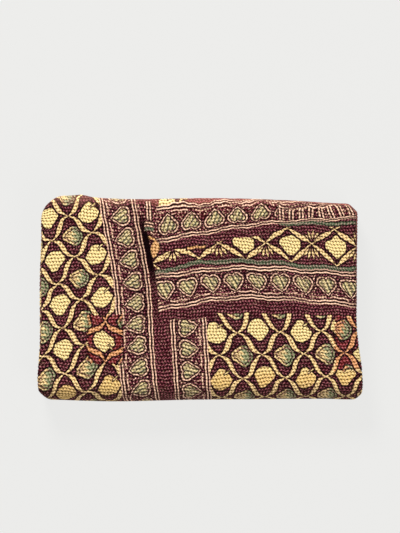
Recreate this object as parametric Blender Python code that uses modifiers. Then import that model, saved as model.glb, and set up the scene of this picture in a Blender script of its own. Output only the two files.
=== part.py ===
"""Kantha quilt, folded into a flat bundle.

One thin stitched cloth is laid in thirds across its width, then in thirds along its
length, and the long strip is doubled over at the front. The same back-and-forth fold
rule is used in both directions. The cloth is modelled flat, quilted, folded point by
point and then settled, so it stays one closed body.

Frame: metres, +X along the bundle's long side, +Y to the back, +Z up, the origin under
the middle of the underside.
"""

import math

import bmesh
import bpy
from mathutils import Vector

# Cloth
PLY = 0.0025                # thickness of the stitched layers of cotton
AIR = 0.0004                # space between two plies lying on each other

# Plan of the bundle before it settles
LEFT_EDGE = -0.2055
RIGHT_EDGE = 0.2030
FRONT_EDGE = -0.1323
BACK_EDGE = 0.1273
NOSE_SQUASH = 0.88          # depth of the front roll over its half height

# Fold order: the level at which each run of the strip lies, from one hem to the other
ACROSS_LEVELS = (1, 0, 2)
ALONG_LEVELS = (0, 5, 4, 1, 2, 3)

# Hems, measured inwards from the turning line of the fold they lie beside
INNER_SIDE_HEM = 0.006
TUCKED_SIDE_HEM = 0.007
UNDER_HEM = -0.0050
INNER_HEM = -0.0045

# Quilting
ROW_PITCH = 0.0042          # spacing of the rows of running stitch
ROW_RISE = 0.0006           # how far the cloth puffs up between two rows
ROW_WOBBLE = 0.0011         # how far a row wanders from a straight line
ROW_WAVE = 0.055            # length of that wander
ROW_SLANT = 0.19            # length over which neighbouring rows fall out of step
ROW_FADE = 0.004            # distance over which the rows fade at the side folds

# Steps of the faceted surface
LEFT_BEND_STEPS = 3
RIGHT_BEND_STEPS = 4
FRONT_BEND_STEPS = 8
BACK_BEND_STEPS = 4
SHORTEST_STEP = 0.004
NEAR = 1e-5                 # two places closer than this are the same
CREASE_AT_MIDDLE = -0.066   # where the crease crosses the middle of the bundle
CREASE_LEAN = -0.09         # sideways run of the crease for each metre to the back
CREASE_WIDTH = 0.010
CREASE_DEPTH = 0.0042       # depth gained around the crease's deepest place
CREASE_BASE = 0.0015        # depth it has all along
CREASE_DEEPEST = 0.037      # place along the crease where it is deepest
CREASE_REACH = 0.085
X_STATIONS = (LEFT_EDGE + 0.025, CREASE_AT_MIDDLE - 0.016, CREASE_AT_MIDDLE,
              CREASE_AT_MIDDLE + 0.018, 0.045)
Y_STATIONS = (FRONT_EDGE + 0.072, -0.002, 0.056, BACK_EDGE - 0.020)

# Rounding of the plan's corners: (side in x, side in y, radius)
CORNERS = (
    (-1, 1, 0.034),
    (1, 1, 0.013),
    (-1, -1, 0.014),
    (1, -1, 0.008),
)

CORNER_LIMIT = 1.25         # a point this many radii out is held there

# Bulges of the outline: (edge, place along it, reach, outward shift)
EDGE_BULGES = (
    ("left", -0.106, 0.034, 0.0045),
    ("left", 0.075, 0.040, -0.0020),
    ("right", -0.112, 0.042, 0.0070),
    ("right", -0.030, 0.024, -0.0010),
    ("right", 0.030, 0.110, -0.0018),
    ("back", -0.098, 0.080, -0.0048),
    ("back", -0.154, 0.010, 0.0028),
    ("back", 0.194, 0.068, -0.0055),
    ("front", -0.115, 0.075, 0.0040),
    ("front", 0.000, 0.110, 0.0012),
    ("front", 0.188, 0.018, 0.0012),
)
BACK_TILT = -0.0265         # the back edge runs out of square
CENTRE_SHIFT = 0.0032       # move to the back that centres the settled bundle on its origin
EDGE_FADE = 0.085           # how far in from an edge its bulge is felt
LOW_SHARE = 0.55            # share of the top's unevenness that reaches the underside

# Sideways drift of each run of the strip: (share of the length, shift)
RUN_DRIFT = (
    (0.00, -0.0010),
    (0.10, -0.0004),
    (0.25, 0.0000),
    (0.42, -0.0026),
    (0.60, 0.0018),
    (0.76, -0.0012),
    (1.00, 0.0014),
)

# Soft rises and dips of the top: (x, y, reach in x, reach in y, rise)
SWELLS = (
    (-0.105, 0.010, 0.026, 0.110, 0.0016),
    (-0.160, -0.060, 0.040, 0.060, 0.0007),
    (0.040, -0.070, 0.070, 0.040, 0.0010),
    (0.110, 0.050, 0.060, 0.035, -0.0010),
    (0.165, -0.020, 0.035, 0.080, 0.0008),
    (-0.020, 0.060, 0.040, 0.050, -0.0009),
)

# How much the top falls off beside an edge: (axis, edge, reach, depth)
EDGE_SINKS = (
    ("x", LEFT_EDGE, 0.014, 0.0016),
    ("x", RIGHT_EDGE, 0.014, 0.0016),
    ("y", BACK_EDGE, 0.020, 0.0014),
)

QUILT_COLOR = (0.115, 0.022, 0.034, 1.0)
QUILT_ROUGHNESS = 0.9
DIAGONAL_WEIGHTS = Vector((1.0, 0.83, 0.61))


class Pleats:
    """A strip laid back and forth over a stack of levels, seen from its side.

    Distances run along the middle of the strip and depths run through it from its face.
    """

    def __init__(self, levels, thick, low, high, face_down, hems, squash=1.0):
        self.thick = thick
        self.pitch = thick + AIR
        self.low = low
        self.high = high
        self.squash = squash
        self.legs = []
        start = 0.0
        heading = -1
        place = high - hems[0]
        for number, level in enumerate(levels):
            end = low if heading < 0 else high
            if number == len(levels) - 1:
                end -= heading * hems[1]
            run = {"bend": False, "from": place, "heading": heading,
                   "height": self.face_height(level, face_down), "face_down": face_down,
                   "start": start, "length": abs(end - place)}
            self.legs.append(run)
            start += run["length"]
            place = end
            if number < len(levels) - 1:
                start += self.add_bend(run, levels[number + 1], place, start)
            heading = -heading
            face_down = not face_down
        self.length = start

    def face_height(self, level, face_down):
        """Height of the strip's face where it lies on a level."""
        return level * self.pitch + (0.0 if face_down else self.thick)

    def add_bend(self, run, next_level, place, start):
        """Add the half turn that follows a run, and give its length."""
        next_height = self.face_height(next_level, not run["face_down"])
        centre = (run["height"] + next_height) / 2
        sign = 1.0 if run["face_down"] else -1.0
        squash = self.squash if run["heading"] < 0 else 1.0
        middle = abs(run["height"] + sign * self.thick / 2 - centre)
        length = math.pi * middle * (1 + squash) / 2
        self.legs.append({"bend": True, "from": place, "heading": run["heading"],
                          "height": run["height"], "face_down": run["face_down"],
                          "centre": centre, "squash": squash, "start": start,
                          "length": length})
        return length

    def place(self, distance, depth):
        """Place and height of a point, from its distance along and depth in the strip."""
        leg = self.legs[0]
        for candidate in self.legs:
            if distance >= candidate["start"] - NEAR / 10:
                leg = candidate
        along = distance - leg["start"]
        height = leg["height"] + (depth if leg["face_down"] else -depth)
        if not leg["bend"]:
            return leg["from"] + leg["heading"] * along, height
        turn = math.pi * along / leg["length"]
        arm = height - leg["centre"]
        reach = leg["squash"] * abs(arm) * math.sin(turn)
        return leg["from"] + leg["heading"] * reach, leg["centre"] + arm * math.cos(turn)

    def lines(self, stations, low_steps, high_steps):
        """Distances at which the strip gets a line of points."""
        marks = [0.0]
        stations = (*stations, self.low, self.high)
        for leg in self.legs:
            if leg["bend"]:
                steps = low_steps if leg["heading"] < 0 else high_steps
                marks += [leg["start"] + leg["length"] * k / steps for k in range(1, steps + 1)]
                continue
            inside = [(s - leg["from"]) * leg["heading"] for s in stations]
            kept = sorted(d for d in inside
                          if SHORTEST_STEP < d < leg["length"] - SHORTEST_STEP)
            marks += [leg["start"] + d for d in kept]
            marks.append(leg["start"] + leg["length"])
        return marks


def bump(distance, reach):
    """A smooth hump of height one."""
    return math.exp(-(distance / reach) ** 2)


def smooth_step(value):
    """Ease from nought to one."""
    value = min(max(value, 0.0), 1.0)
    return value * value * (3 - 2 * value)


def make_folds():
    """The fold across the width and the fold along the length."""
    group = 3 * PLY + 2 * AIR
    left_turn = LEFT_EDGE + PLY + AIR / 2
    right_turn = RIGHT_EDGE - group / 2
    across = Pleats(ACROSS_LEVELS, PLY, left_turn, right_turn, False,
                    (INNER_SIDE_HEM, TUCKED_SIDE_HEM))
    nose = (6 * group + 5 * AIR) / 2 * NOSE_SQUASH
    back_turn = BACK_EDGE - group - AIR / 2
    along = Pleats(ALONG_LEVELS, group, FRONT_EDGE + nose, back_turn, True,
                   (UNDER_HEM, INNER_HEM), NOSE_SQUASH)
    return across, along


def flat_cloth(name, lines_u, lines_v):
    """A flat slab with points on the given lines, its face on the plane z = 0."""
    steps_u = len(lines_u) - 1
    steps_v = len(lines_v) - 1
    bpy.ops.mesh.primitive_grid_add(x_subdivisions=steps_u, y_subdivisions=steps_v, size=1)
    cloth = bpy.context.object
    cloth.name = name
    cloth.data.name = name
    for vertex in cloth.data.vertices:
        column = round((vertex.co.x + 0.5) * steps_u)
        row = round((vertex.co.y + 0.5) * steps_v)
        vertex.co = (lines_u[column], lines_v[row], 0)
    shell = cloth.modifiers.new("thickness", "SOLIDIFY")
    shell.thickness = PLY
    shell.offset = 1
    bpy.ops.object.modifier_apply(modifier=shell.name)
    return cloth


def shown_face(across, along):
    """Spans across and along of the part of the face that shows on the bundle."""
    left, right = across.legs[1], across.legs[3]
    nose, back = along.legs[1], along.legs[3]
    span_u = (left["start"] + left["length"] * (LEFT_BEND_STEPS - 1) / LEFT_BEND_STEPS,
              right["start"] + right["length"] * 2 / RIGHT_BEND_STEPS)
    span_v = (nose["start"] + nose["length"] / FRONT_BEND_STEPS,
              back["start"] + back["length"])
    return span_u, span_v


def face_patch(mesh, span_u, span_v):
    """Faces of the cloth's face side whose middles lie in a patch."""
    kept = []
    for face in mesh.faces:
        middle = face.calc_center_median()
        if (abs(middle.z) < PLY / 4 and span_u[0] < middle.x < span_u[1]
                and span_v[0] < middle.y < span_v[1]):
            kept.append(face)
    return kept


def add_rows(mesh, lines_v, span_u, span_v):
    """Cut the rows of quilting into the face side, and give each line's rise."""
    rises = {}
    count = 0
    for low, high in zip(lines_v, lines_v[1:]):
        if high <= span_v[0] + NEAR or low >= span_v[1] - NEAR:
            continue
        steps = max(1, round((high - low) / (ROW_PITCH / 2)))
        for k in range(steps):
            mark = low + (high - low) * k / steps
            rises[mark] = count % 2
            count += 1
            if k == 0:
                continue
            faces = face_patch(mesh, span_u, (low, high))
            geometry = faces + list({e for f in faces for e in f.edges})
            geometry += list({v for f in faces for v in f.verts})
            bmesh.ops.bisect_plane(mesh, geom=geometry, dist=NEAR / 10,
                                   plane_co=(0, mark, 0), plane_no=(0, 1, 0))
    return rises


def raise_rows(mesh, rises, span_u):
    """Lift the face between rows, and let the rows wander a little."""
    marks = sorted(rises)
    for vertex in mesh.verts:
        u, v, depth = vertex.co
        if depth > PLY / 4 or not span_u[0] - NEAR < u < span_u[1] + NEAR:
            continue
        mark = min(marks, key=lambda m: abs(m - v))
        if abs(mark - v) > NEAR or mark in (marks[0], marks[-1]):
            continue
        ends = smooth_step(min(u - span_u[0], span_u[1] - u) / ROW_FADE)
        wander = math.sin(math.tau * (u / ROW_WAVE + v / ROW_SLANT))
        vertex.co.z = -ROW_RISE * rises[mark] * ends
        vertex.co.y = v + ends * ROW_WOBBLE * wander


def edge_shift(edge, along):
    """Outward shift of one edge of the plan at a place along it."""
    return sum(shift * bump(along - at, reach)
               for name, at, reach, shift in EDGE_BULGES if name == edge)


def round_corner(x, y):
    """Draw the plan's corners in to their radii."""
    for side_x, side_y, radius in CORNERS:
        edge_x = RIGHT_EDGE if side_x > 0 else LEFT_EDGE
        edge_y = BACK_EDGE if side_y > 0 else FRONT_EDGE
        a = (side_x * (x - edge_x) + radius) / radius
        b = (side_y * (y - edge_y) + radius) / radius
        if a > 0 and b > 0:
            a = min(a, CORNER_LIMIT)
            b = min(b, CORNER_LIMIT)
            x = edge_x + side_x * radius * (a * math.sqrt(1 - b * b / 2) - 1)
            y = edge_y + side_y * radius * (b * math.sqrt(1 - a * a / 2) - 1)
            return x, y
    return x, y


def shift_outline(x, y, share, drift):
    """Move a point with the uneven edges of the plan and the drift of its run."""
    left = smooth_step(1 - (x - LEFT_EDGE) / EDGE_FADE)
    right = smooth_step(1 - (RIGHT_EDGE - x) / EDGE_FADE)
    front = smooth_step(1 - (y - FRONT_EDGE) / EDGE_FADE)
    back = smooth_step((y - FRONT_EDGE) / (BACK_EDGE - FRONT_EDGE))
    dx = right * edge_shift("right", y) - left * edge_shift("left", y)
    dy = back * (edge_shift("back", x) + BACK_TILT * x) - front * edge_shift("front", x)
    return x + share * dx + (left + right) * drift, y + share * dy


def top_rise(x, y):
    """How far the top of the bundle lies above its nominal height."""
    crease = CREASE_AT_MIDDLE + CREASE_LEAN * y
    depth = CREASE_BASE + CREASE_DEPTH * bump(y - CREASE_DEEPEST, CREASE_REACH)
    rise = -depth * bump(x - crease, CREASE_WIDTH)
    for at_x, at_y, reach_x, reach_y, height in SWELLS:
        rise += height * bump(x - at_x, reach_x) * bump(y - at_y, reach_y)
    for axis, edge, reach, depth in EDGE_SINKS:
        rise -= depth * bump((x if axis == "x" else y) - edge, reach)
    return rise


def run_drift(share):
    """Sideways drift at a share of the strip's length."""
    for (low, first), (high, last) in zip(RUN_DRIFT, RUN_DRIFT[1:]):
        if share <= high:
            return first + (last - first) * smooth_step((share - low) / (high - low))
    return RUN_DRIFT[-1][1]


def fold_point(point, across, along, height):
    """Carry a point of the flat slab to its place in the settled bundle."""
    x, depth = across.place(point.x, point.z)
    y, z = along.place(point.y, depth)
    level = z / height
    x, y = round_corner(x, y)
    drift = run_drift(point.y / along.length)
    x, y = shift_outline(x, y, LOW_SHARE + (1 - LOW_SHARE) * level, drift)
    return Vector((x, y + CENTRE_SHIFT, z + level * level * top_rise(x, y)))


def split_quads(mesh):
    """Split each quad by the same diagonal in every ply, so that no two plies touch."""
    for face in [f for f in mesh.faces if len(f.verts) == 4]:
        order = sorted(face.verts, key=lambda v: v.co.dot(DIAGONAL_WEIGHTS))
        low = order[0]
        corners = list(face.verts)
        opposite = corners[(corners.index(low) + 2) % 4]
        bmesh.utils.face_split(face, low, opposite)


def make_quilt():
    """The whole quilt: one cloth, cut, quilted, folded and settled."""
    across, along = make_folds()
    side_hems = (across.low + TUCKED_SIDE_HEM, across.high - INNER_SIDE_HEM)
    lines_u = across.lines(X_STATIONS + side_hems, LEFT_BEND_STEPS, RIGHT_BEND_STEPS)
    lines_v = along.lines(Y_STATIONS, FRONT_BEND_STEPS, BACK_BEND_STEPS)
    cloth = flat_cloth("quilt", lines_u, lines_v)
    mesh = bmesh.new()
    mesh.from_mesh(cloth.data)

    span_u, span_v = shown_face(across, along)
    rises = add_rows(mesh, lines_v, span_u, span_v)
    raise_rows(mesh, rises, span_u)
    uneven = [f for f in mesh.faces if len(f.verts) > 4]
    bmesh.ops.triangulate(mesh, faces=uneven, ngon_method="BEAUTY")

    height = len(ALONG_LEVELS) * along.pitch - AIR
    for vertex in mesh.verts:
        vertex.co = fold_point(vertex.co, across, along, height)
    split_quads(mesh)
    bmesh.ops.reverse_faces(mesh, faces=mesh.faces)
    mesh.to_mesh(cloth.data)
    mesh.free()
    return cloth


def quilt_material():
    """Printed cotton, dull all over."""
    material = bpy.data.materials.new("printed cotton")
    material.use_nodes = True
    shader = material.node_tree.nodes["Principled BSDF"]
    shader.inputs["Base Color"].default_value = QUILT_COLOR
    shader.inputs["Roughness"].default_value = QUILT_ROUGHNESS
    shader.inputs["Metallic"].default_value = 0.0
    material.diffuse_color = QUILT_COLOR
    return material


def clear_scene():
    """Remove what the scene holds."""
    for thing in list(bpy.data.objects):
        bpy.data.objects.remove(thing, do_unlink=True)


def main():
    """Build the quilt in a collection of its own."""
    clear_scene()
    group = bpy.data.collections.new("kantha quilt")
    bpy.context.scene.collection.children.link(group)
    quilt = make_quilt()
    quilt.data.materials.append(quilt_material())
    for holder in list(quilt.users_collection):
        holder.objects.unlink(quilt)
    group.objects.link(quilt)


main()
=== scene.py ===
"""Kantha quilt folded into a flat bundle: the dressed model.

The cloth is made flat as one closed sheet, cut finely where it shows, quilted with rows
of running stitch, folded by the same rule as the solid and settled with it. The print is
worked out from flat places on the cloth, so it runs on round every fold. Lengths are in
metres. The print's own layout is counted in steps of PRINT_STEP, with x to the right and
y to the front.
"""

import logging
import math
import random
from bisect import bisect_right
from dataclasses import dataclass, field
from enum import Enum
from functools import cached_property
from typing import Any, Callable, Iterable, Sequence

import bpy
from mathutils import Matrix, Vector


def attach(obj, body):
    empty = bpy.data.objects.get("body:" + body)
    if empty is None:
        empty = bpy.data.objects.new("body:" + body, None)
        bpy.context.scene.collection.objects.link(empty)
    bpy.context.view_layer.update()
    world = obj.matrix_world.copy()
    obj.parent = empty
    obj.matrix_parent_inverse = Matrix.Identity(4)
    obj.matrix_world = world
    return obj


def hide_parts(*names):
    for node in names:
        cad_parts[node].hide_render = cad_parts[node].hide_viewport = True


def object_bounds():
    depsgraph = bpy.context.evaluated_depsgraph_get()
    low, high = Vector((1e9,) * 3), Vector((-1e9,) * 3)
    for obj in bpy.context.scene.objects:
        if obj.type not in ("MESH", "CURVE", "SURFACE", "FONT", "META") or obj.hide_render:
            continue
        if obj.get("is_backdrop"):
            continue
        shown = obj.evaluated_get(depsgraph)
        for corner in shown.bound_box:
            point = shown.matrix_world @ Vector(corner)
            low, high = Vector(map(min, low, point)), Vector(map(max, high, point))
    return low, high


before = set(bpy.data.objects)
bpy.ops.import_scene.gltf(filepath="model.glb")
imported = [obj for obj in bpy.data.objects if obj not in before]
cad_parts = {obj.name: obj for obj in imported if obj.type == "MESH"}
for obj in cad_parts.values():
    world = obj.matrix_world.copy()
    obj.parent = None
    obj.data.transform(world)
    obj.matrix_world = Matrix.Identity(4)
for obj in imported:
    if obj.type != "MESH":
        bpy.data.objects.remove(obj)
SOLID_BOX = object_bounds()

LOG = logging.getLogger("kantha")

Point = tuple[float, float, float]
Crossing = tuple[int, int]
Piece = bpy.types.Object
Socket = bpy.types.NodeSocket
Colour = tuple[float, float, float, float]

PLY = 0.0025                # thickness of the stitched layers of cotton
AIR = 0.0004                # space between two plies lying on each other
NEAR = 1e-6
ROW_PITCH = 0.0042          # spacing of the rows of running stitch
COLUMN = 0.002008           # spacing of the points along a row
STITCH_PITCH = 2 * COLUMN   # from one stitch to the next in a row

PRINT_STEP = 0.0012923      # one step of the print's layout
PRINT_X = 200.5             # the layout's place over the middle of the bundle
PRINT_Y = 296.5


def bump(distance: float, reach: float) -> float:
    """A smooth hump of height one."""
    return math.exp(-(distance / reach) ** 2)


def smooth_step(value: float) -> float:
    """Ease from nought to one."""
    value = min(max(value, 0.0), 1.0)
    return value * value * (3 - 2 * value)


def last_start(starts: Iterable[float], place: float) -> int:
    """Number of the last start that a place has come to."""
    return max(sum(place >= start - NEAR for start in starts) - 1, 0)


def to_layout(x: float, y: float) -> tuple[float, float]:
    """Place in the print's layout, in steps, of a flat place."""
    return PRINT_X + x / PRINT_STEP, PRINT_Y - y / PRINT_STEP


# --- The folds ---

@dataclass(frozen=True)
class Leg:
    """One straight run or one half turn of a strip laid back and forth."""

    start: float
    length: float
    origin: float
    heading: int
    height: float
    face_down: bool
    centre: float = 0.0
    squash: float = 0.0
    stretch: float = 1.0        # length over the outside of a turn to that along its middle

    @property
    def is_bend(self) -> bool:
        """Whether the leg is a half turn."""
        return self.squash > 0

    @property
    def end(self) -> float:
        """Distance along the strip at which the leg ends."""
        return self.start + self.length

    def share(self, distance: float) -> float:
        """How far through the leg a distance lies, from nought to one."""
        return min(max((distance - self.start) / self.length, 0.0), 1.0)


class Pleats:
    """A strip laid back and forth over a stack of levels, seen from its side."""

    def __init__(self, levels: Sequence[int], thick: float, low: float, high: float,
                 face_down: bool, hems: tuple[float, float], squash: float = 1.0) -> None:
        """Lay the strip.

        Args:
            levels: the level of each run, from one hem to the other.
            thick: thickness of the strip.
            low: turning line at the low side.
            high: turning line at the high side.
            face_down: whether the first run lies face down.
            hems: how far the two hems lie in from their turning lines.
            squash: depth of the low side's turns over their half height.
        """
        self.thick = thick
        self.pitch = thick + AIR
        self.low = low
        self.high = high
        self.legs: list[Leg] = []
        start = 0.0
        heading = -1
        place = high - hems[0]
        for number, level in enumerate(levels):
            last = number == len(levels) - 1
            end = (low if heading < 0 else high) - (heading * hems[1] if last else 0.0)
            height = self.face_height(level, face_down)
            run = Leg(start, abs(end - place), place, heading, height, face_down)
            self.legs.append(run)
            start = run.end
            place = end
            if not last:
                turn = self.turn_after(run, levels[number + 1], end, squash)
                self.legs.append(turn)
                start = turn.end
            heading = -heading
            face_down = not face_down
        self.length = start
        self.starts = [leg.start - NEAR for leg in self.legs]
        self.open_starts = [0.0]
        for leg in self.legs:
            self.open_starts.append(self.open_starts[-1] + leg.length * leg.stretch)

    def face_height(self, level: int, face_down: bool) -> float:
        """Height of the strip's face where it lies on a level."""
        return level * self.pitch + (0.0 if face_down else self.thick)

    def turn_after(self, run: Leg, level: int, place: float, squash: float) -> Leg:
        """The half turn that follows a run.

        Args:
            run: the run before the turn.
            level: the level that the turn leads to.
            place: the turning line.
            squash: depth over half height, for a turn at the low side.

        Returns:
            The turn.
        """
        next_height = self.face_height(level, not run.face_down)
        centre = (run.height + next_height) / 2
        sign = 1.0 if run.face_down else -1.0
        flat = squash if run.heading < 0 else 1.0
        middle = abs(run.height + sign * self.thick / 2 - centre)
        outer = max(abs(run.height - centre), abs(run.height + sign * self.thick - centre))
        return Leg(run.end, math.pi * middle * (1 + flat) / 2, place, run.heading, run.height,
                   run.face_down, centre, flat, outer / middle)

    def number_at(self, distance: float) -> int:
        """Number of the leg that holds a distance."""
        return max(bisect_right(self.starts, distance) - 1, 0)

    def place(self, distance: float, depth: float) -> tuple[float, float]:
        """Place and height of a point.

        Args:
            distance: its distance along the strip.
            depth: its depth in the strip.

        Returns:
            Its place to the side and its height.
        """
        leg = self.legs[self.number_at(distance)]
        along = distance - leg.start
        height = leg.height + (depth if leg.face_down else -depth)
        if not leg.is_bend:
            return leg.origin + leg.heading * along, height
        turn = math.pi * along / leg.length
        arm = height - leg.centre
        reach = leg.squash * abs(arm) * math.sin(turn)
        return leg.origin + leg.heading * reach, leg.centre + arm * math.cos(turn)

    def opened(self, distance: float, anchor: int) -> float:
        """Length over the outside from the start of the anchor leg to a distance.

        Args:
            distance: distance along the strip.
            anchor: number of the leg.

        Returns:
            The opened length.
        """
        number = self.number_at(distance)
        leg = self.legs[number]
        open_place = self.open_starts[number] + (distance - leg.start) * leg.stretch
        return open_place - self.open_starts[anchor]

    def closed(self, open_place: float, anchor: int) -> float:
        """Distance along the strip at an opened length, the reverse of opened.

        Args:
            open_place: the opened length.
            anchor: number of the leg.

        Returns:
            The distance.
        """
        open_place += self.open_starts[anchor]
        number = last_start(self.open_starts[:-1], open_place)
        leg = self.legs[number]
        return leg.start + (open_place - self.open_starts[number]) / leg.stretch


@dataclass(frozen=True)
class Settling:
    """How the square-cut folded cloth has slumped: its uneven edges, crease and swells."""

    left: float = -0.2055
    right: float = 0.2030
    front: float = -0.1323
    back: float = 0.1273
    crease_at: float = -0.066
    crease_lean: float = -0.09
    crease_width: float = 0.010
    crease_depth: float = 0.0042
    crease_base: float = 0.0015
    crease_deepest: float = 0.037
    crease_reach: float = 0.085
    pinch_width: float = 0.0046     # the sharp fold at the bottom of the crease
    pinch_depth: float = 0.0034
    pinch_aside: float = 0.001
    pinch_back: float = 0.012
    pinch_share: float = 0.75       # its reach over the crease's
    corner_limit: float = 1.25
    back_tilt: float = -0.0265
    centre_shift: float = 0.0032    # move to the back that centres the settled bundle
    edge_fade: float = 0.085
    low_share: float = 0.55
    # side in x, side in y, radius
    corners: tuple[tuple[int, int, float], ...] = (
        (-1, 1, 0.034), (1, 1, 0.013), (-1, -1, 0.014), (1, -1, 0.008))
    # for each edge: place along it, reach, outward shift
    bulges: dict[str, tuple[Point, ...]] = field(default_factory=lambda: {
        "left": ((-0.106, 0.034, 0.0045), (0.075, 0.040, -0.0020)),
        "right": ((-0.112, 0.042, 0.0070), (-0.030, 0.024, -0.0010), (0.030, 0.110, -0.0018)),
        "back": ((-0.098, 0.080, -0.0048), (-0.154, 0.010, 0.0028), (0.194, 0.068, -0.0055)),
        "front": ((-0.115, 0.075, 0.0040), (0.000, 0.110, 0.0012), (0.188, 0.018, 0.0012))})
    # share of the length, sideways drift
    drift: tuple[tuple[float, float], ...] = (
        (0.00, -0.0010), (0.10, -0.0004), (0.25, 0.0000), (0.42, -0.0026), (0.60, 0.0018),
        (0.76, -0.0012), (1.00, 0.0014))
    # x, y, reach in x, reach in y, rise
    swells: tuple[tuple[float, float, float, float, float], ...] = (
        (-0.105, 0.010, 0.026, 0.110, 0.0016), (-0.160, -0.060, 0.040, 0.060, 0.0007),
        (0.040, -0.070, 0.070, 0.040, 0.0010), (0.110, 0.050, 0.060, 0.035, -0.0010),
        (0.165, -0.020, 0.035, 0.080, 0.0008), (-0.020, 0.060, 0.040, 0.050, -0.0009))
    sink_reach: float = 0.014
    sink_depth: float = 0.0016
    back_sink_reach: float = 0.020
    back_sink_depth: float = 0.0014

    def edge_shift(self, edge: str, along: float) -> float:
        """Outward shift of one edge of the plan at a place along it."""
        return sum(shift * bump(along - at, reach) for at, reach, shift in self.bulges[edge])

    def round_corner(self, x: float, y: float) -> tuple[float, float]:
        """Draw the plan's corners in to their radii.

        Args:
            x: place across the bundle.
            y: place along the bundle's depth.

        Returns:
            The place within the rounded corners.
        """
        for side_x, side_y, radius in self.corners:
            edge_x = self.right if side_x > 0 else self.left
            edge_y = self.back if side_y > 0 else self.front
            a = (side_x * (x - edge_x) + radius) / radius
            b = (side_y * (y - edge_y) + radius) / radius
            if a > 0 and b > 0:
                a = min(a, self.corner_limit)
                b = min(b, self.corner_limit)
                return (edge_x + side_x * radius * (a * math.sqrt(1 - b * b / 2) - 1),
                        edge_y + side_y * radius * (b * math.sqrt(1 - a * a / 2) - 1))
        return x, y

    def run_drift(self, share: float) -> float:
        """Sideways drift at a share of the strip's length.

        Args:
            share: share of the length.

        Returns:
            The drift.
        """
        for (low, first), (high, last) in zip(self.drift, self.drift[1:]):
            if share <= high:
                return first + (last - first) * smooth_step((share - low) / (high - low))
        return self.drift[-1][1]

    def shift_outline(self, x: float, y: float, share: float,
                      drift: float) -> tuple[float, float]:
        """Move a point with the uneven edges of the plan and the drift of its run.

        Args:
            x: place across the bundle.
            y: place along the bundle's depth.
            share: how much of the shift it takes.
            drift: drift of its run.

        Returns:
            The moved place.
        """
        left = smooth_step(1 - (x - self.left) / self.edge_fade)
        right = smooth_step(1 - (self.right - x) / self.edge_fade)
        front = smooth_step(1 - (y - self.front) / self.edge_fade)
        back = smooth_step((y - self.front) / (self.back - self.front))
        dx = right * self.edge_shift("right", y) - left * self.edge_shift("left", y)
        dy = (back * (self.edge_shift("back", x) + self.back_tilt * x)
              - front * self.edge_shift("front", x))
        return x + share * dx + (left + right) * drift, y + share * dy

    def top_rise(self, x: float, y: float) -> float:
        """How far the top of the bundle lies above its nominal height.

        Args:
            x: place across the bundle.
            y: place along the bundle's depth.

        Returns:
            The rise, below nought in the crease.
        """
        crease = self.crease_at + self.crease_lean * y
        depth = self.crease_base + self.crease_depth * bump(y - self.crease_deepest,
                                                            self.crease_reach)
        rise = -depth * bump(x - crease, self.crease_width)
        pinch = bump(y - self.crease_deepest + self.pinch_back,
                     self.crease_reach * self.pinch_share)
        rise -= (self.pinch_depth * bump(x - crease - self.pinch_aside, self.pinch_width)
                 * pinch)
        for at_x, at_y, reach_x, reach_y, height in self.swells:
            rise += height * bump(x - at_x, reach_x) * bump(y - at_y, reach_y)
        rise -= self.sink_depth * bump(x - self.left, self.sink_reach)
        rise -= self.sink_depth * bump(x - self.right, self.sink_reach)
        return rise - self.back_sink_depth * bump(y - self.back, self.back_sink_reach)

    def settle(self, x: float, y: float, z: float, height: float, share: float) -> Point:
        """Carry a folded point to its settled place.

        Args:
            x: place across the bundle.
            y: place along the bundle's depth.
            z: height of the point.
            height: height of the whole bundle.
            share: how far along the cloth the point lies, from nought to one.

        Returns:
            The settled point.
        """
        level = z / height
        x, y = self.round_corner(x, y)
        x, y = self.shift_outline(x, y, self.low_share + (1 - self.low_share) * level,
                                  self.run_drift(share))
        return x, y + self.centre_shift, z + level * level * self.top_rise(x, y)


SHOWN = 2                   # the run of either fold that lies on the top of the bundle
NOSE, BACK_FOLD, LOWER_BACK_FOLD = 1, 3, 7
LEFT_FOLD, RIGHT_FOLD, TUCKED_RUN = 1, 3, 4


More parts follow.
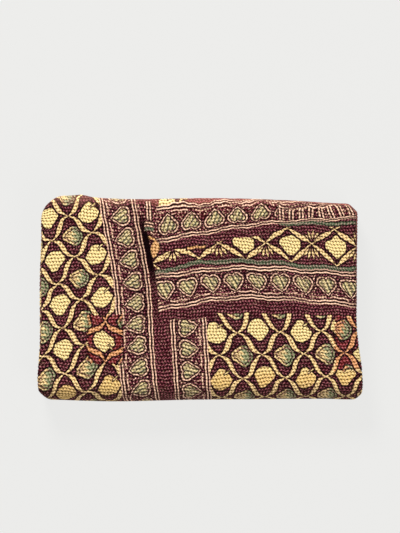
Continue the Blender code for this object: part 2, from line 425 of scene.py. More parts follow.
class FoldedCloth:
    """The flat cloth's two folds, its rows of quilting and its settled shape.

    A point of the cloth is given by u across it and v along it, as distances along the
    middles of the folded strips, and by its lift off the printed face.
    """

    across_levels = (1, 0, 2)   # levels of the runs of the two folds, hem to hem
    along_levels = (0, 5, 4, 1, 2, 3)
    across_hems = (0.006, 0.007)
    along_hems = (-0.0050, -0.0045)
    squash = 0.88               # depth of the front roll over half its height
    relief = 0.00115            # rise of the cloth between two rows
    gap_rise = 0.50             # share of it in a row, between two stitches
    ridge_power = 1.3           # how sharply the cloth dips at a row
    wander = 0.0011             # slow wander of a row, and its two lengths
    wander_wave = 0.055
    wander_slant = 0.19
    quiver = 0.00042            # quick wander of a row, and its two lengths
    quiver_wave = 0.0135
    quiver_slant = 0.047
    jog = 0.00030               # wander of the stitches along a row
    jog_wave = 0.031
    jog_slant = 0.021
    nose_start = 0.16           # share of the front roll over which rows fade in
    back_end = 0.35             # share of the back fold over which rows fade out

    def __init__(self) -> None:
        """Lay the folds and count the rows."""
        self.settling = settling = Settling()
        plies, levels = len(self.across_levels), len(self.along_levels)
        group = plies * PLY + (plies - 1) * AIR
        nose = (levels * group + (levels - 1) * AIR) / 2 * self.squash
        self.across = Pleats(self.across_levels, PLY, settling.left + PLY + AIR / 2,
                             settling.right - group / 2, False, self.across_hems)
        self.along = Pleats(self.along_levels, group, settling.front + nose,
                            settling.back - group - AIR / 2, True, self.along_hems,
                            self.squash)
        self.height = levels * self.along.pitch - AIR
        self.row_starts = [0]
        for leg in self.along.legs:
            rows = max(1, round(leg.length * leg.stretch / ROW_PITCH))
            self.row_starts.append(self.row_starts[-1] + rows)

    def numbers_at(self, u: float, v: float) -> tuple[int, int]:
        """Numbers of the legs of the two folds that hold a place."""
        return self.across.number_at(u), self.along.number_at(v)

    def row_at(self, v: float) -> float:
        """Row of stitching at a place along the cloth, whole on a row.

        Args:
            v: place along the cloth.

        Returns:
            The row.
        """
        number = self.along.number_at(v)
        first, last = self.row_starts[number:number + 2]
        leg = self.along.legs[number]
        return first + (last - first) * (v - leg.start) / leg.length

    def v_of_row(self, row: float) -> float:
        """Place along the cloth of a row.

        Args:
            row: the row.

        Returns:
            The place.
        """
        number = last_start(self.row_starts[:-1], row)
        first, last = self.row_starts[number:number + 2]
        leg = self.along.legs[number]
        return leg.start + leg.length * (row - first) / (last - first)

    @staticmethod
    def row_shift(row: int) -> float:
        """How far along itself a row's stitches are shifted, in stitches."""
        odd = (row + (row * row * 7 + 3 * row) // 11 % 2 * (row % 5 == 0)) % 2
        return 0.5 * odd

    def stitch_phase(self, u: float, row: float) -> float:
        """Place in the run of stitches, whole at the middle of a stitch."""
        return self.across.opened(u, SHOWN) / STITCH_PITCH + self.row_shift(math.floor(row + 0.5))

    def weight(self, u: float, v: float) -> float:
        """How strongly the quilting shows at a place, from nought to one.

        Args:
            u: place across the cloth.
            v: place along the cloth.

        Returns:
            The weight.
        """
        number_u, number_v = self.numbers_at(u, v)
        share_u = self.across.legs[number_u].share(u)
        share_v = self.along.legs[number_v].share(v)
        side = face = 0.0
        if number_u == SHOWN:
            face = 1.0
        elif number_u in (LEFT_FOLD, RIGHT_FOLD):
            side = math.sin(math.pi * share_u)
            turned = share_u if number_u == RIGHT_FOLD else 1 - share_u
            face = math.cos(math.pi * turned / 2) ** 2 if turned < 1 else 0.0
        if number_v == NOSE:
            face *= smooth_step(share_v / self.nose_start)
        elif number_v == BACK_FOLD:
            face *= smooth_step((1 - share_v) / self.back_end)
        elif number_v != SHOWN:
            face = 0.0
        if number_v == LOWER_BACK_FOLD:
            rolled = math.sin(math.pi * share_v)
            if number_u == TUCKED_RUN:
                face = rolled
            elif number_u == RIGHT_FOLD:
                face = rolled * math.sin(math.pi * share_u / 2) ** 2
        return max(side, face)

    def puff(self, row: float, phase: float) -> float:
        """Rise of the face over a stitch's middle, in shares of the relief.

        Args:
            row: place across the rows, whole on a row.
            phase: place in the run of stitches, whole at the middle of a stitch.

        Returns:
            The rise.
        """
        ridge = abs(math.sin(math.pi * row)) ** self.ridge_power
        gap = 0.5 - 0.5 * math.cos(math.tau * phase)
        return ridge + self.gap_rise * gap * (1 - ridge)

    def surface(self, u: float, v: float, lift: float) -> Point:
        """A point on or over the quilted face.

        Args:
            u: place across the cloth.
            v: place along the cloth.
            lift: height over the face.

        Returns:
            The point in the settled bundle.
        """
        weight = self.weight(u, v)
        if weight > 0:
            row = self.row_at(v)
            lift += weight * self.relief * self.puff(row, self.stitch_phase(u, row))
            slow = math.sin(math.tau * (u / self.wander_wave + v / self.wander_slant))
            quick = math.sin(math.tau * (u / self.quiver_wave + v / self.quiver_slant))
            along_row = math.sin(math.tau * (u / self.jog_wave + v / self.jog_slant))
            v += weight * (self.wander * slow + self.quiver * quick)
            u += weight * self.jog * along_row
        return self.point(u, v, -lift)

    def folded(self, u: float, v: float, depth: float) -> Point:
        """A point of the folded cloth before it settles.

        Args:
            u: place across the cloth.
            v: place along the cloth.
            depth: depth under the printed face.

        Returns:
            The point.
        """
        x, through = self.across.place(u, depth)
        y, z = self.along.place(v, through)
        return x, y, z

    def point(self, u: float, v: float, depth: float) -> Point:
        """The settled place of a point at a depth under the printed face."""
        x, y, z = self.folded(u, v, depth)
        return self.settling.settle(x, y, z, self.height, v / self.along.length)

    def flat(self, u: float, v: float) -> tuple[float, float]:
        """Place on the opened cloth, level with the bundle's own x and y on its top."""
        return (self.across.low + self.across.opened(u, SHOWN),
                self.along.low + self.along.opened(v, SHOWN))

    def print_place(self, u: float, v: float) -> tuple[float, float]:
        """Place in the print's layout, in steps, following the settled cloth.

        Args:
            u: place across the cloth.
            v: place along the cloth.

        Returns:
            The place in the layout.
        """
        x, y = self.flat(u, v)
        before = self.folded(u, v, 0.0)
        after = self.settling.settle(*before, self.height, v / self.along.length)
        x += after[0] - before[0]
        y += after[1] - before[1] - self.settling.centre_shift
        return to_layout(x, y)


# --- The print's layout ---

@dataclass(frozen=True)
class Curve:
    """A smooth line through given places, straight beyond its ends."""

    points: tuple[tuple[float, float], ...]

    def slope(self, k: int) -> float:
        """Slope of the line at one of its places.

        Args:
            k: number of the place.

        Returns:
            The slope.
        """
        low = self.points[max(k - 1, 0)]
        high = self.points[min(k + 1, len(self.points) - 1)]
        return (high[1] - low[1]) / (high[0] - low[0])

    def at(self, place: float) -> float:
        """Value of the line at a place.

        Args:
            place: the place.

        Returns:
            The value.
        """
        first, last = self.points[0], self.points[-1]
        if place <= first[0]:
            return first[1] + (place - first[0]) * self.slope(0)
        if place >= last[0]:
            return last[1] + (place - last[0]) * self.slope(len(self.points) - 1)
        k = max(n for n, point in enumerate(self.points[:-1]) if point[0] <= place)
        (x0, y0), (x1, y1) = self.points[k:k + 2]
        span = x1 - x0
        t = (place - x0) / span
        return (y0 * (1 + 2 * t) * (1 - t) ** 2 + y1 * t * t * (3 - 2 * t)
                + span * (self.slope(k) * t * (1 - t) ** 2 - self.slope(k + 1) * t * t * (1 - t)))


@dataclass(frozen=True)
class Lattice:
    """Where a trellis lies: its two counts p and q, whole at the crossings."""

    x: float
    y: float
    p: tuple[float, ...]
    q: tuple[float, ...]
    shift: tuple[float, float] = (0.0, 0.0)
    scale: float = 50.0
    bend_limit: float = 2.0

    def at(self, x: float, y: float) -> tuple[float, float]:
        """Counts p and q at a place of the layout.

        Args:
            x: place to the right in the layout.
            y: place to the front in the layout.

        Returns:
            The two counts.
        """
        a = (x - self.x) / self.scale
        b = (y - self.y) / self.scale
        c = min(max(a, -self.bend_limit), self.bend_limit)
        d = min(max(b, -self.bend_limit), self.bend_limit)
        terms = (1.0, a, b, c * c, c * d, d * d)
        return (sum(k * t for k, t in zip(self.p, terms)) + self.shift[0],
                sum(k * t for k, t in zip(self.q, terms)) + self.shift[1])


@dataclass(frozen=True)
class HeartCount:
    """The spacing of the hearts along a band."""

    first: float
    pitch: float
    shear: float = 0.0          # how far a heart moves on with the offset

    def at(self, place: float, offset: float) -> float:
        """Count of hearts at a place along the band, whole between two hearts."""
        return (place - self.first + self.shear * offset) / self.pitch


class Pattern(Enum):
    """Which piece of old printed cloth is on show."""

    PIECED = "pieced"           # the quilt's own face of several pieces
    FIELD = "field"             # one piece of trellis
    TURNED = "turned"           # one piece of trellis, laid the other way


@dataclass(frozen=True)
class PrintPlace:
    """What the print's material needs to know about one place of the cloth."""

    layout: Point
    lattice: Point
    upright: Point
    level: Point
    rails: Point


@dataclass(frozen=True)
class PrintLayout:
    """Where the trellis fields, the bands of hearts and the stripes lie on the face."""

    left_field: Lattice = Lattice(
        75, 300, (0.8333, 1.4448, 0.9807, -0.0595, 0.0127, 0.0074),
        (-1.0911, 0.9109, -1.2413, -0.0341, -0.0344, 0.0475))
    right_field: Lattice = Lattice(
        280, 360, (0.5214, 1.2197, 0.9641, 0.0292, 0.0176, 0.1021),
        (3.295, 1.173, -1.1991, 0.0213, 0.0049, 0.044), bend_limit=1.6)
    strip: Lattice = Lattice(
        280, 245, (1.3609, 1.0385, 1.3332, -0.014, -0.0048, -0.369),
        (1.2465, 1.131, -1.5827, 0.0339, 0.1075, 0.1078), bend_limit=1.3)
    back_field: Lattice = Lattice(
        75, 300, (0.8333, 1.4448, 0.9807), (-1.0911, 0.9109, -1.2413), (-0.02, 0.55))
    cut: Curve = Curve(((155, 318), (210, 313.5), (290, 314), (357, 316.5)))
    slant: Curve = Curve(((158, 240), (210, 230), (281.5, 220.3), (357, 216)))
    low_stripe: Curve = Curve(((150, 275), (200, 262.8), (267, 262), (311.6, 267), (357, 268.7)))
    hearts_up: Curve = Curve(((168, 222.5), (210, 217.5), (260, 211.5), (357, 209)))
    hearts_up_half: Curve = Curve(((168, 16.5), (210, 14.0), (260, 12.5), (357, 8.5)))
    hearts_down: Curve = Curve(((158, 293), (189, 288), (220, 283.6), (258, 282.6), (304, 285.4),
                                (355, 289.4)))
    hearts_down_half: Curve = Curve(((158, 16.8), (220, 15.0), (291, 14.8), (355, 15.6)))
    long_hearts: HeartCount = HeartCount(205.3, 21.8, 0.27)
    short_hearts: HeartCount = HeartCount(315.3, 22.3, -0.15)
    back_hearts: HeartCount = HeartCount(156.6, 23.2)
    front_hearts: HeartCount = HeartCount(153.6, 23.15, 0.2)
    band_half: float = 16.2     # half a band's width between its double lines
    high_stripe: float = 223.4
    long_side: float = 27.0     # from the long band to where the short one takes over
    back_reach: float = 22.0    # and from the slanting seam to where the front band does
    cut_overlap: float = -6.0
    strip_back: float = 8.0

    @staticmethod
    def long_band(y: float) -> float:
        """Middle line of the long band of hearts that runs front to back."""
        return 116.5 + 0.1225 * (y - 200) + 5 * bump(y - 283, 55)

    @staticmethod
    def short_band(y: float) -> float:
        """Middle line of the short band in front of the cut."""
        return 188.4 + 0.065 * (y - 323)

    def upright_at(self, x: float, y: float, side: float, below: float) -> Point:
        """Heart count, offset and side for the two bands that run front to back.

        Args:
            x: place to the right in the layout.
            y: place to the front in the layout.
            side: distance from the long band.
            below: distance to the front of the cut.

        Returns:
            The three values.
        """
        if side > self.long_side:
            offset = self.short_band(y) - x
            return self.short_hearts.at(y, offset), offset, below
        return self.long_hearts.at(y, side), side, below

    def level_at(self, x: float, y: float) -> tuple[float, float]:
        """Heart count and offset for the two bands that run from side to side.

        Args:
            x: place to the right in the layout.
            y: place to the front in the layout.

        Returns:
            The count and the offset.
        """
        if y < self.slant.at(x) + self.back_reach:
            offset = (y - self.hearts_up.at(x)) * self.band_half / self.hearts_up_half.at(x)
            return self.back_hearts.at(x, offset), offset
        offset = (self.hearts_down.at(x) - y) * self.band_half / self.hearts_down_half.at(x)
        return self.front_hearts.at(x, offset), offset

    @staticmethod
    def trellis_only(x: float, y: float, p: float, q: float) -> PrintPlace:
        """A place of a cloth with nothing but trellis, far from every band and stripe."""
        return PrintPlace((x, y, 0.0), (p, q, 0.0), (0.0, -60.0, 50.0), (0.0, 60.0, -60.0),
                          (-50.0, 50.0, 50.0))

    def at(self, x: float, y: float, pattern: Pattern) -> PrintPlace:
        """Everything the print's material needs at a place of the layout.

        Args:
            x: place to the right.
            y: place to the front.
            pattern: the piece of old cloth.

        Returns:
            What the material needs.
        """
        if pattern is Pattern.TURNED:
            along = 0.5 + (y - 341.0) / 43.0
            aside = (105.3 - x) / 46.0
            return self.trellis_only(x, y, along + aside, along - aside)
        if pattern is Pattern.FIELD:
            p, q = self.right_field.at(x, y)
            return self.trellis_only(x, y, p + 1.0, q)
        side = x - self.long_band(y)
        below = y - self.cut.at(x)
        top = self.slant.at(x) - y
        leafy = side > 0 and below <= self.cut_overlap and top <= self.strip_back
        if leafy:
            p, q = self.strip.at(x, y - 8.5 * bump(x - 163, 19))
        elif side <= 0:
            p, q = self.left_field.at(x, y)
        else:
            lattice = self.right_field if below > self.cut_overlap else self.back_field
            p, q = lattice.at(x, y)
        return PrintPlace((x, y, side), (p, q, float(leafy)),
                          self.upright_at(x, y, side, below), (*self.level_at(x, y), below),
                          (top, self.low_stripe.at(x) - y, y - self.high_stripe))


# --- Meshes ---

@dataclass
class Skin:
    """A piece in the making: its points, its faces and what its points carry."""

    points: list[Point] = field(default_factory=list)
    faces: list[list[int]] = field(default_factory=list)
    vectors: dict[str, list[float]] = field(default_factory=dict)
    flat: list[tuple[float, float]] = field(default_factory=list)

    def carry(self, name: str, value: Sequence[float]) -> None:
        """Add one point's value for the material under a name."""
        self.vectors.setdefault(name, []).extend(value)

    def make(self, name: str) -> Piece:
        """Make the piece.

        Args:
            name: name of the piece.

        Returns:
            The piece, in the scene.
        """
        mesh = bpy.data.meshes.new(name)
        mesh.from_pydata(self.points, [], self.faces)
        mesh.polygons.foreach_set("use_smooth", [True] * len(mesh.polygons))
        for key, values in self.vectors.items():
            mesh.attributes.new(key, "FLOAT_VECTOR", "POINT").data.foreach_set("vector", values)
        if self.flat:
            mesh.uv_layers.new(name="cloth").data.foreach_set("uv", [
                value for loop in mesh.loops for value in self.flat[loop.vertex_index]])
        mesh.validate()
        mesh.update()
        piece = bpy.data.objects.new(name, mesh)
        bpy.context.scene.collection.objects.link(piece)
        return piece


def ring(low_a: int, low_b: int, high_a: int, high_b: int) -> list[Crossing]:
    """The four corners of a cell, in turn."""
    return [(low_a, low_b), (high_a, low_b), (high_a, high_b), (low_a, high_b)]


def beside(a: int, b: int) -> list[Crossing]:
    """The four cells beside a cell, in turn along its ring."""
    return [(a, b - 1), (a + 1, b), (a, b + 1), (a - 1, b)]


class Grid:
    """Lines of points on the flat cloth: coarse ones all over, with fine ones between."""

    crease_columns = (54, 82)   # columns between which the coarse lines lie close
    crease_step = 3             # columns from one line to the next: there,
    left_step = 9               # to the left of the crease,
    wide_step = 10              # to its right
    edge_step = 4               # and beside the edges
    edge_gap = 6
    left_steps = 4              # coarse lines in a turn at the left and the right
    right_steps = 6
    run_rows = 6                # rows from one coarse line to the next in a run,
    nose_rows = 2               # and in the front roll
    shown_samples = 4           # fine lines in a row, where it shows and where not
    hidden_samples = 2
    shortest = 0.0012           # least distance between two lines

    def __init__(self, cloth: FoldedCloth) -> None:
        """Work out the lines across and along the cloth.

        Args:
            cloth: the folded cloth.
        """
        self.cloth = cloth
        self.fine_u = [0.0]
        self.fine_v = [0.0]
        self.coarse_u = self.lines_across()
        self.coarse_v = self.lines_along()

    def stations(self) -> list[float]:
        """Places across the bundle where every run has a line.

        Returns:
            The places, from the left to the right.
        """
        across = self.cloth.across
        low, high = self.crease_columns
        second = 2 * self.edge_step + 1
        last = round((across.high - across.low) / COLUMN)
        columns = {0, self.edge_step, last - self.edge_step, last,
                   *range(second, low, self.left_step), *range(low, high, self.crease_step),
                   *range(high - 1, last - self.edge_gap, self.wide_step)}
        return [across.low + (across.high - across.low) * k / last for k in sorted(columns)]

    def lines_across(self) -> list[int]:
        """Fill the fine lines across, and give the numbers of the coarse ones.

        Returns:
            Numbers of the coarse lines.
        """
        across = self.cloth.across
        hems = self.cloth.across_hems
        stations = [*self.stations(), across.high - hems[0], across.low + hems[1]]
        marks: list[tuple[float, int]] = []
        for leg in across.legs:
            if leg.is_bend:
                steps = self.left_steps if leg.heading < 0 else self.right_steps
                marks += [(leg.start + leg.length * k / steps, 1) for k in range(1, steps + 1)]
                continue
            kept = [0.0]
            for distance in sorted((s - leg.origin) * leg.heading for s in stations):
                if distance - kept[-1] > self.shortest and leg.length - distance > self.shortest:
                    kept.append(distance)
            kept.append(leg.length)
            marks += [(leg.start + high, max(1, round((high - low) / COLUMN)))
                      for low, high in zip(kept, kept[1:])]
        coarse = [0]
        for place, cuts in marks:
            low = self.fine_u[-1]
            self.fine_u += [low + (place - low) * k / cuts for k in range(1, cuts + 1)]
            coarse.append(len(self.fine_u) - 1)
        return coarse

    def lines_along(self) -> list[int]:
        """Fill the fine lines along, and give the numbers of the coarse ones.

        Returns:
            Numbers of the coarse lines.
        """
        cloth = self.cloth
        coarse = [0]
        for number, leg in enumerate(cloth.along.legs):
            first, last = cloth.row_starts[number:number + 2]
            group = 1 if leg.is_bend else self.run_rows
            if number == NOSE:
                group = self.nose_rows
            shown = number in (NOSE, SHOWN, BACK_FOLD, LOWER_BACK_FOLD)
            samples = self.shown_samples if shown else self.hidden_samples
            steps = math.ceil((last - first) / group)
            edges = [first + round(k * (last - first) / steps) for k in range(steps + 1)]
            for low, high in zip(edges, edges[1:]):
                cuts = (high - low) * samples
                self.fine_v += [cloth.v_of_row(low + k / samples) for k in range(1, cuts)]
                self.fine_v.append(leg.end if high == last else cloth.v_of_row(high))
                coarse.append(len(self.fine_v) - 1)
        return coarse

    def is_fine(self, i: int, j: int) -> bool:
        """Whether the printed face is cut finely in a coarse cell.

        Args:
            i: number of the coarse cell across.
            j: number of the coarse cell along.

        Returns:
            Whether it is fine.
        """
        if not (0 <= i < len(self.coarse_u) - 1 and 0 <= j < len(self.coarse_v) - 1):
            return False
        u = sum(self.fine_u[a] for a in self.coarse_u[i:i + 2]) / 2
        v = sum(self.fine_v[b] for b in self.coarse_v[j:j + 2]) / 2
        number_u, number_v = self.cloth.numbers_at(u, v)
        if number_u == SHOWN:
            return number_v in (NOSE, SHOWN, BACK_FOLD)
        return (number_u in (LEFT_FOLD, RIGHT_FOLD)
                or (number_u == TUCKED_RUN and number_v == LOWER_BACK_FOLD))


FACE, REVERSE, RIM = 0, 1, 2    # the sides of a sheet


@dataclass(kw_only=True)
class PrintedPiece:
    """A piece of printed cloth, with its points at crossings of the grid's fine lines."""

    cloth: FoldedCloth
    grid: Grid
    layout: PrintLayout
    name: str
    pattern: Pattern
    two_faced: bool             # whether its reverse is plain cloth
    skin: Skin = field(default_factory=Skin)
    known: dict[tuple[int, int, int], int] = field(default_factory=dict)

    def place(self, side: int, a: int, b: int) -> Point:
        """Place of the point on a side at a crossing of fine lines."""
        raise NotImplementedError

    def number(self, side: int, a: int, b: int) -> int:
        """Number of that point, which is made when it is first asked for.

        Args:
            side: side of the cloth.
            a: number of the fine line across.
            b: number of the fine line along.

        Returns:
            The point's number in the skin.
        """
        key = (side, a, b)
        if key not in self.known:
            cloth, skin = self.cloth, self.skin
            u, v = self.grid.fine_u[a], self.grid.fine_v[b]
            row = cloth.row_at(v)
            self.known[key] = len(skin.points)
            skin.points.append(self.place(side, a, b))
            skin.flat.append(cloth.flat(u, v))
            print_place = self.layout.at(*cloth.print_place(u, v), self.pattern)
            for name, value in vars(print_place).items():
                skin.carry(name, value)
            skin.carry("rows", (row, cloth.stitch_phase(u, row), float(side * self.two_faced)))
        return self.known[key]

    def numbers(self, side: int, crossings: Iterable[Crossing]) -> list[int]:
        """Numbers of several points on a side."""
        return [self.number(side, a, b) for a, b in crossings]


@dataclass(kw_only=True)
class Quilt(PrintedPiece):
    """The quilt itself: one closed sheet with a printed face and a plain reverse."""

    name: str = "quilt_cloth"
    pattern: Pattern = Pattern.PIECED
    two_faced: bool = True
    rim_bulge: float = 0.0010

    @property
    def flat_size(self) -> tuple[float, float]:
        """Width and length of the cloth before it was folded."""
        return self.cloth.across.length, self.cloth.along.length

    def place(self, side: int, a: int, b: int) -> Point:
        """Place of the point on a side at a crossing of fine lines.

        Args:
            side: side of the cloth.
            a: number of the fine line across.
            b: number of the fine line along.

        Returns:
            The place.
        """
        u, v = self.grid.fine_u[a], self.grid.fine_v[b]
        if side == FACE:
            return self.cloth.surface(u, v, 0.0)
        if side == REVERSE:
            return self.cloth.point(u, v, PLY)
        out_u = (a == len(self.grid.fine_u) - 1) - (a == 0)
        out_v = (b == len(self.grid.fine_v) - 1) - (b == 0)
        return self.cloth.point(u + out_u * self.rim_bulge, v + out_v * self.rim_bulge, PLY / 2)

    def edge(self, side: int, start: Crossing, end: Crossing, fine: bool) -> list[int]:
        """Points from a crossing up to, but not with, the next one round a cell.

        Args:
            side: side of the sheet.
            start: crossing that the edge starts from.
            end: crossing that it ends at.
            fine: whether it has points at the fine lines.

        Returns:
            Numbers of the points.
        """
        (a, b), (da, db) = start, (end[0] - start[0], end[1] - start[1])
        steps = abs(da) + abs(db) if fine else 1
        return self.numbers(side, [(a + da * k // steps, b + db * k // steps)
                                   for k in range(steps)])

    def add_face(self, numbers: list[int], side: int) -> None:
        """Add a face so that it points away from the cloth."""
        self.skin.faces.append(numbers[::-1] if side == FACE else numbers)

    def add_cell(self, side: int, i: int, j: int) -> None:
        """Add the face or faces of one coarse cell.

        Args:
            side: side of the sheet.
            i: number of the coarse line before it across.
            j: number of the coarse line before it along.
        """
        grid = self.grid
        low_a, high_a = grid.coarse_u[i:i + 2]
        low_b, high_b = grid.coarse_v[j:j + 2]
        if side == FACE and grid.is_fine(i, j):
            for a in range(low_a, high_a):
                for b in range(low_b, high_b):
                    self.add_face(self.numbers(side, ring(a, b, a + 1, b + 1)), side)
            return
        corners = ring(low_a, low_b, high_a, high_b)
        numbers: list[int] = []
        for k, cell in enumerate(beside(i, j)):
            numbers += self.edge(side, corners[k], corners[(k + 1) % 4],
                                 side == FACE and grid.is_fine(*cell))
        self.add_face(numbers, side)

    def add_rim(self, start: Crossing, end: Crossing, fine: bool) -> None:
        """Close the cloth's edge between two coarse lines with a rounded rim.

        Args:
            start: crossing that the rim starts from.
            end: crossing that it ends at.
            fine: whether it has points at the fine lines.
        """
        face = [*self.edge(FACE, start, end, fine), self.number(FACE, *end)]
        rim = self.numbers(RIM, (start, end))
        back = self.numbers(REVERSE, (start, end))
        self.skin.faces += [[*face, rim[1], rim[0]], [*rim, back[1], back[0]]]

    def add_rims(self) -> None:
        """Close all four hems."""
        grid = self.grid
        last_i, last_j = len(grid.coarse_u) - 1, len(grid.coarse_v) - 1
        right, top = grid.coarse_u[last_i], grid.coarse_v[last_j]
        for i in range(last_i):
            low, high = grid.coarse_u[i:i + 2]
            self.add_rim((low, 0), (high, 0), grid.is_fine(i, 0))
            self.add_rim((high, top), (low, top), grid.is_fine(i, last_j - 1))
        for j in range(last_j):
            low, high = grid.coarse_v[j:j + 2]
            self.add_rim((0, high), (0, low), grid.is_fine(0, j))
            self.add_rim((right, low), (right, high), grid.is_fine(last_i - 1, j))

    def build(self) -> Piece:
        """Build the sheet.

        Returns:
            The quilt's piece.
        """
        for i in range(len(self.grid.coarse_u) - 1):
            for j in range(len(self.grid.coarse_v) - 1):
                self.add_cell(FACE, i, j)
                self.add_cell(REVERSE, i, j)
        self.add_rims()
        return self.skin.make(self.name)


@dataclass(kw_only=True)
class DarnPatch(PrintedPiece):
    """A small piece of old cloth stitched over a worn place."""

    two_faced: bool = False
    left: float                 # its sides, in steps of the layout
    right: float
    back: float
    front: float
    seed: int
    bottom: float = 0.00010     # heights over the quilt's face
    top: float = 0.00055
    edge_top: float = 0.00030
    margin: float = 12.0
    cells: set[Crossing] = field(default_factory=set)

    def near(self, a: int, b: int) -> bool:
        """Whether a fine cell is anywhere near the patch, found without the settling."""
        x, y = to_layout(*self.cloth.flat(self.grid.fine_u[a], self.grid.fine_v[b]))
        return (self.left - self.margin < x < self.right + self.margin
                and self.back - self.margin < y < self.front + self.margin)

    def inside(self, a: int, b: int) -> bool:
        """Whether a fine cell belongs to the patch, with its frayed sides.

        Args:
            a: number of the fine line across.
            b: number of the fine line along.

        Returns:
            Whether it does.
        """
        u = sum(self.grid.fine_u[a:a + 2]) / 2
        v = sum(self.grid.fine_v[b:b + 2]) / 2
        number_u, number_v = self.cloth.numbers_at(u, v)
        if number_u not in (SHOWN, RIGHT_FOLD) or number_v not in (NOSE, SHOWN):
            return False
        x, y = self.cloth.print_place(u, v)
        fray = 0.8 * math.sin(b * 0.9 + self.seed) + 0.5 * math.sin(b * 2.3)
        nick = 0.6 * math.sin(a * 1.1 + self.seed) + 0.4 * math.sin(a * 2.9)
        return (self.left + fray < x < self.right - fray
                and self.back + nick < y < self.front - nick)

    def place(self, side: int, a: int, b: int) -> Point:
        """Place of the point on a side at a crossing of fine lines.

        Args:
            side: side of the cloth.
            a: number of the fine line across.
            b: number of the fine line along.

        Returns:
            The place.
        """
        lift = self.bottom
        if side == FACE:
            whole = all((a + i, b + j) in self.cells for i in (-1, 0) for j in (-1, 0))
            lift = self.top if whole else self.edge_top
        return self.cloth.surface(self.grid.fine_u[a], self.grid.fine_v[b], lift)

    def build(self) -> Piece:
        """Build the patch.

        Returns:
            The patch's piece.
        """
        self.cells = {(a, b) for a in range(len(self.grid.fine_u) - 1)
                      for b in range(len(self.grid.fine_v) - 1)
                      if self.near(a, b) and self.inside(a, b)}
        for a, b in sorted(self.cells):
            corners = ring(a, b, a + 1, b + 1)
            self.skin.faces.append(self.numbers(FACE, corners))
            self.skin.faces.append(self.numbers(REVERSE, reversed(corners)))
            for k, cell in enumerate(beside(a, b)):
                if cell not in self.cells:
                    start, end = corners[k], corners[(k + 1) % 4]
                    self.skin.faces.append(self.numbers(REVERSE, (start, end))
                                           + self.numbers(FACE, (end, start)))
        return self.skin.make(self.name)


class Zone(Enum):
    """A part of the bundle whose stitches make one piece."""

    TOP = "stitches_top"
    FRONT = "stitches_front"
    BACK = "stitches_back"
    SIDES = "stitches_sides"


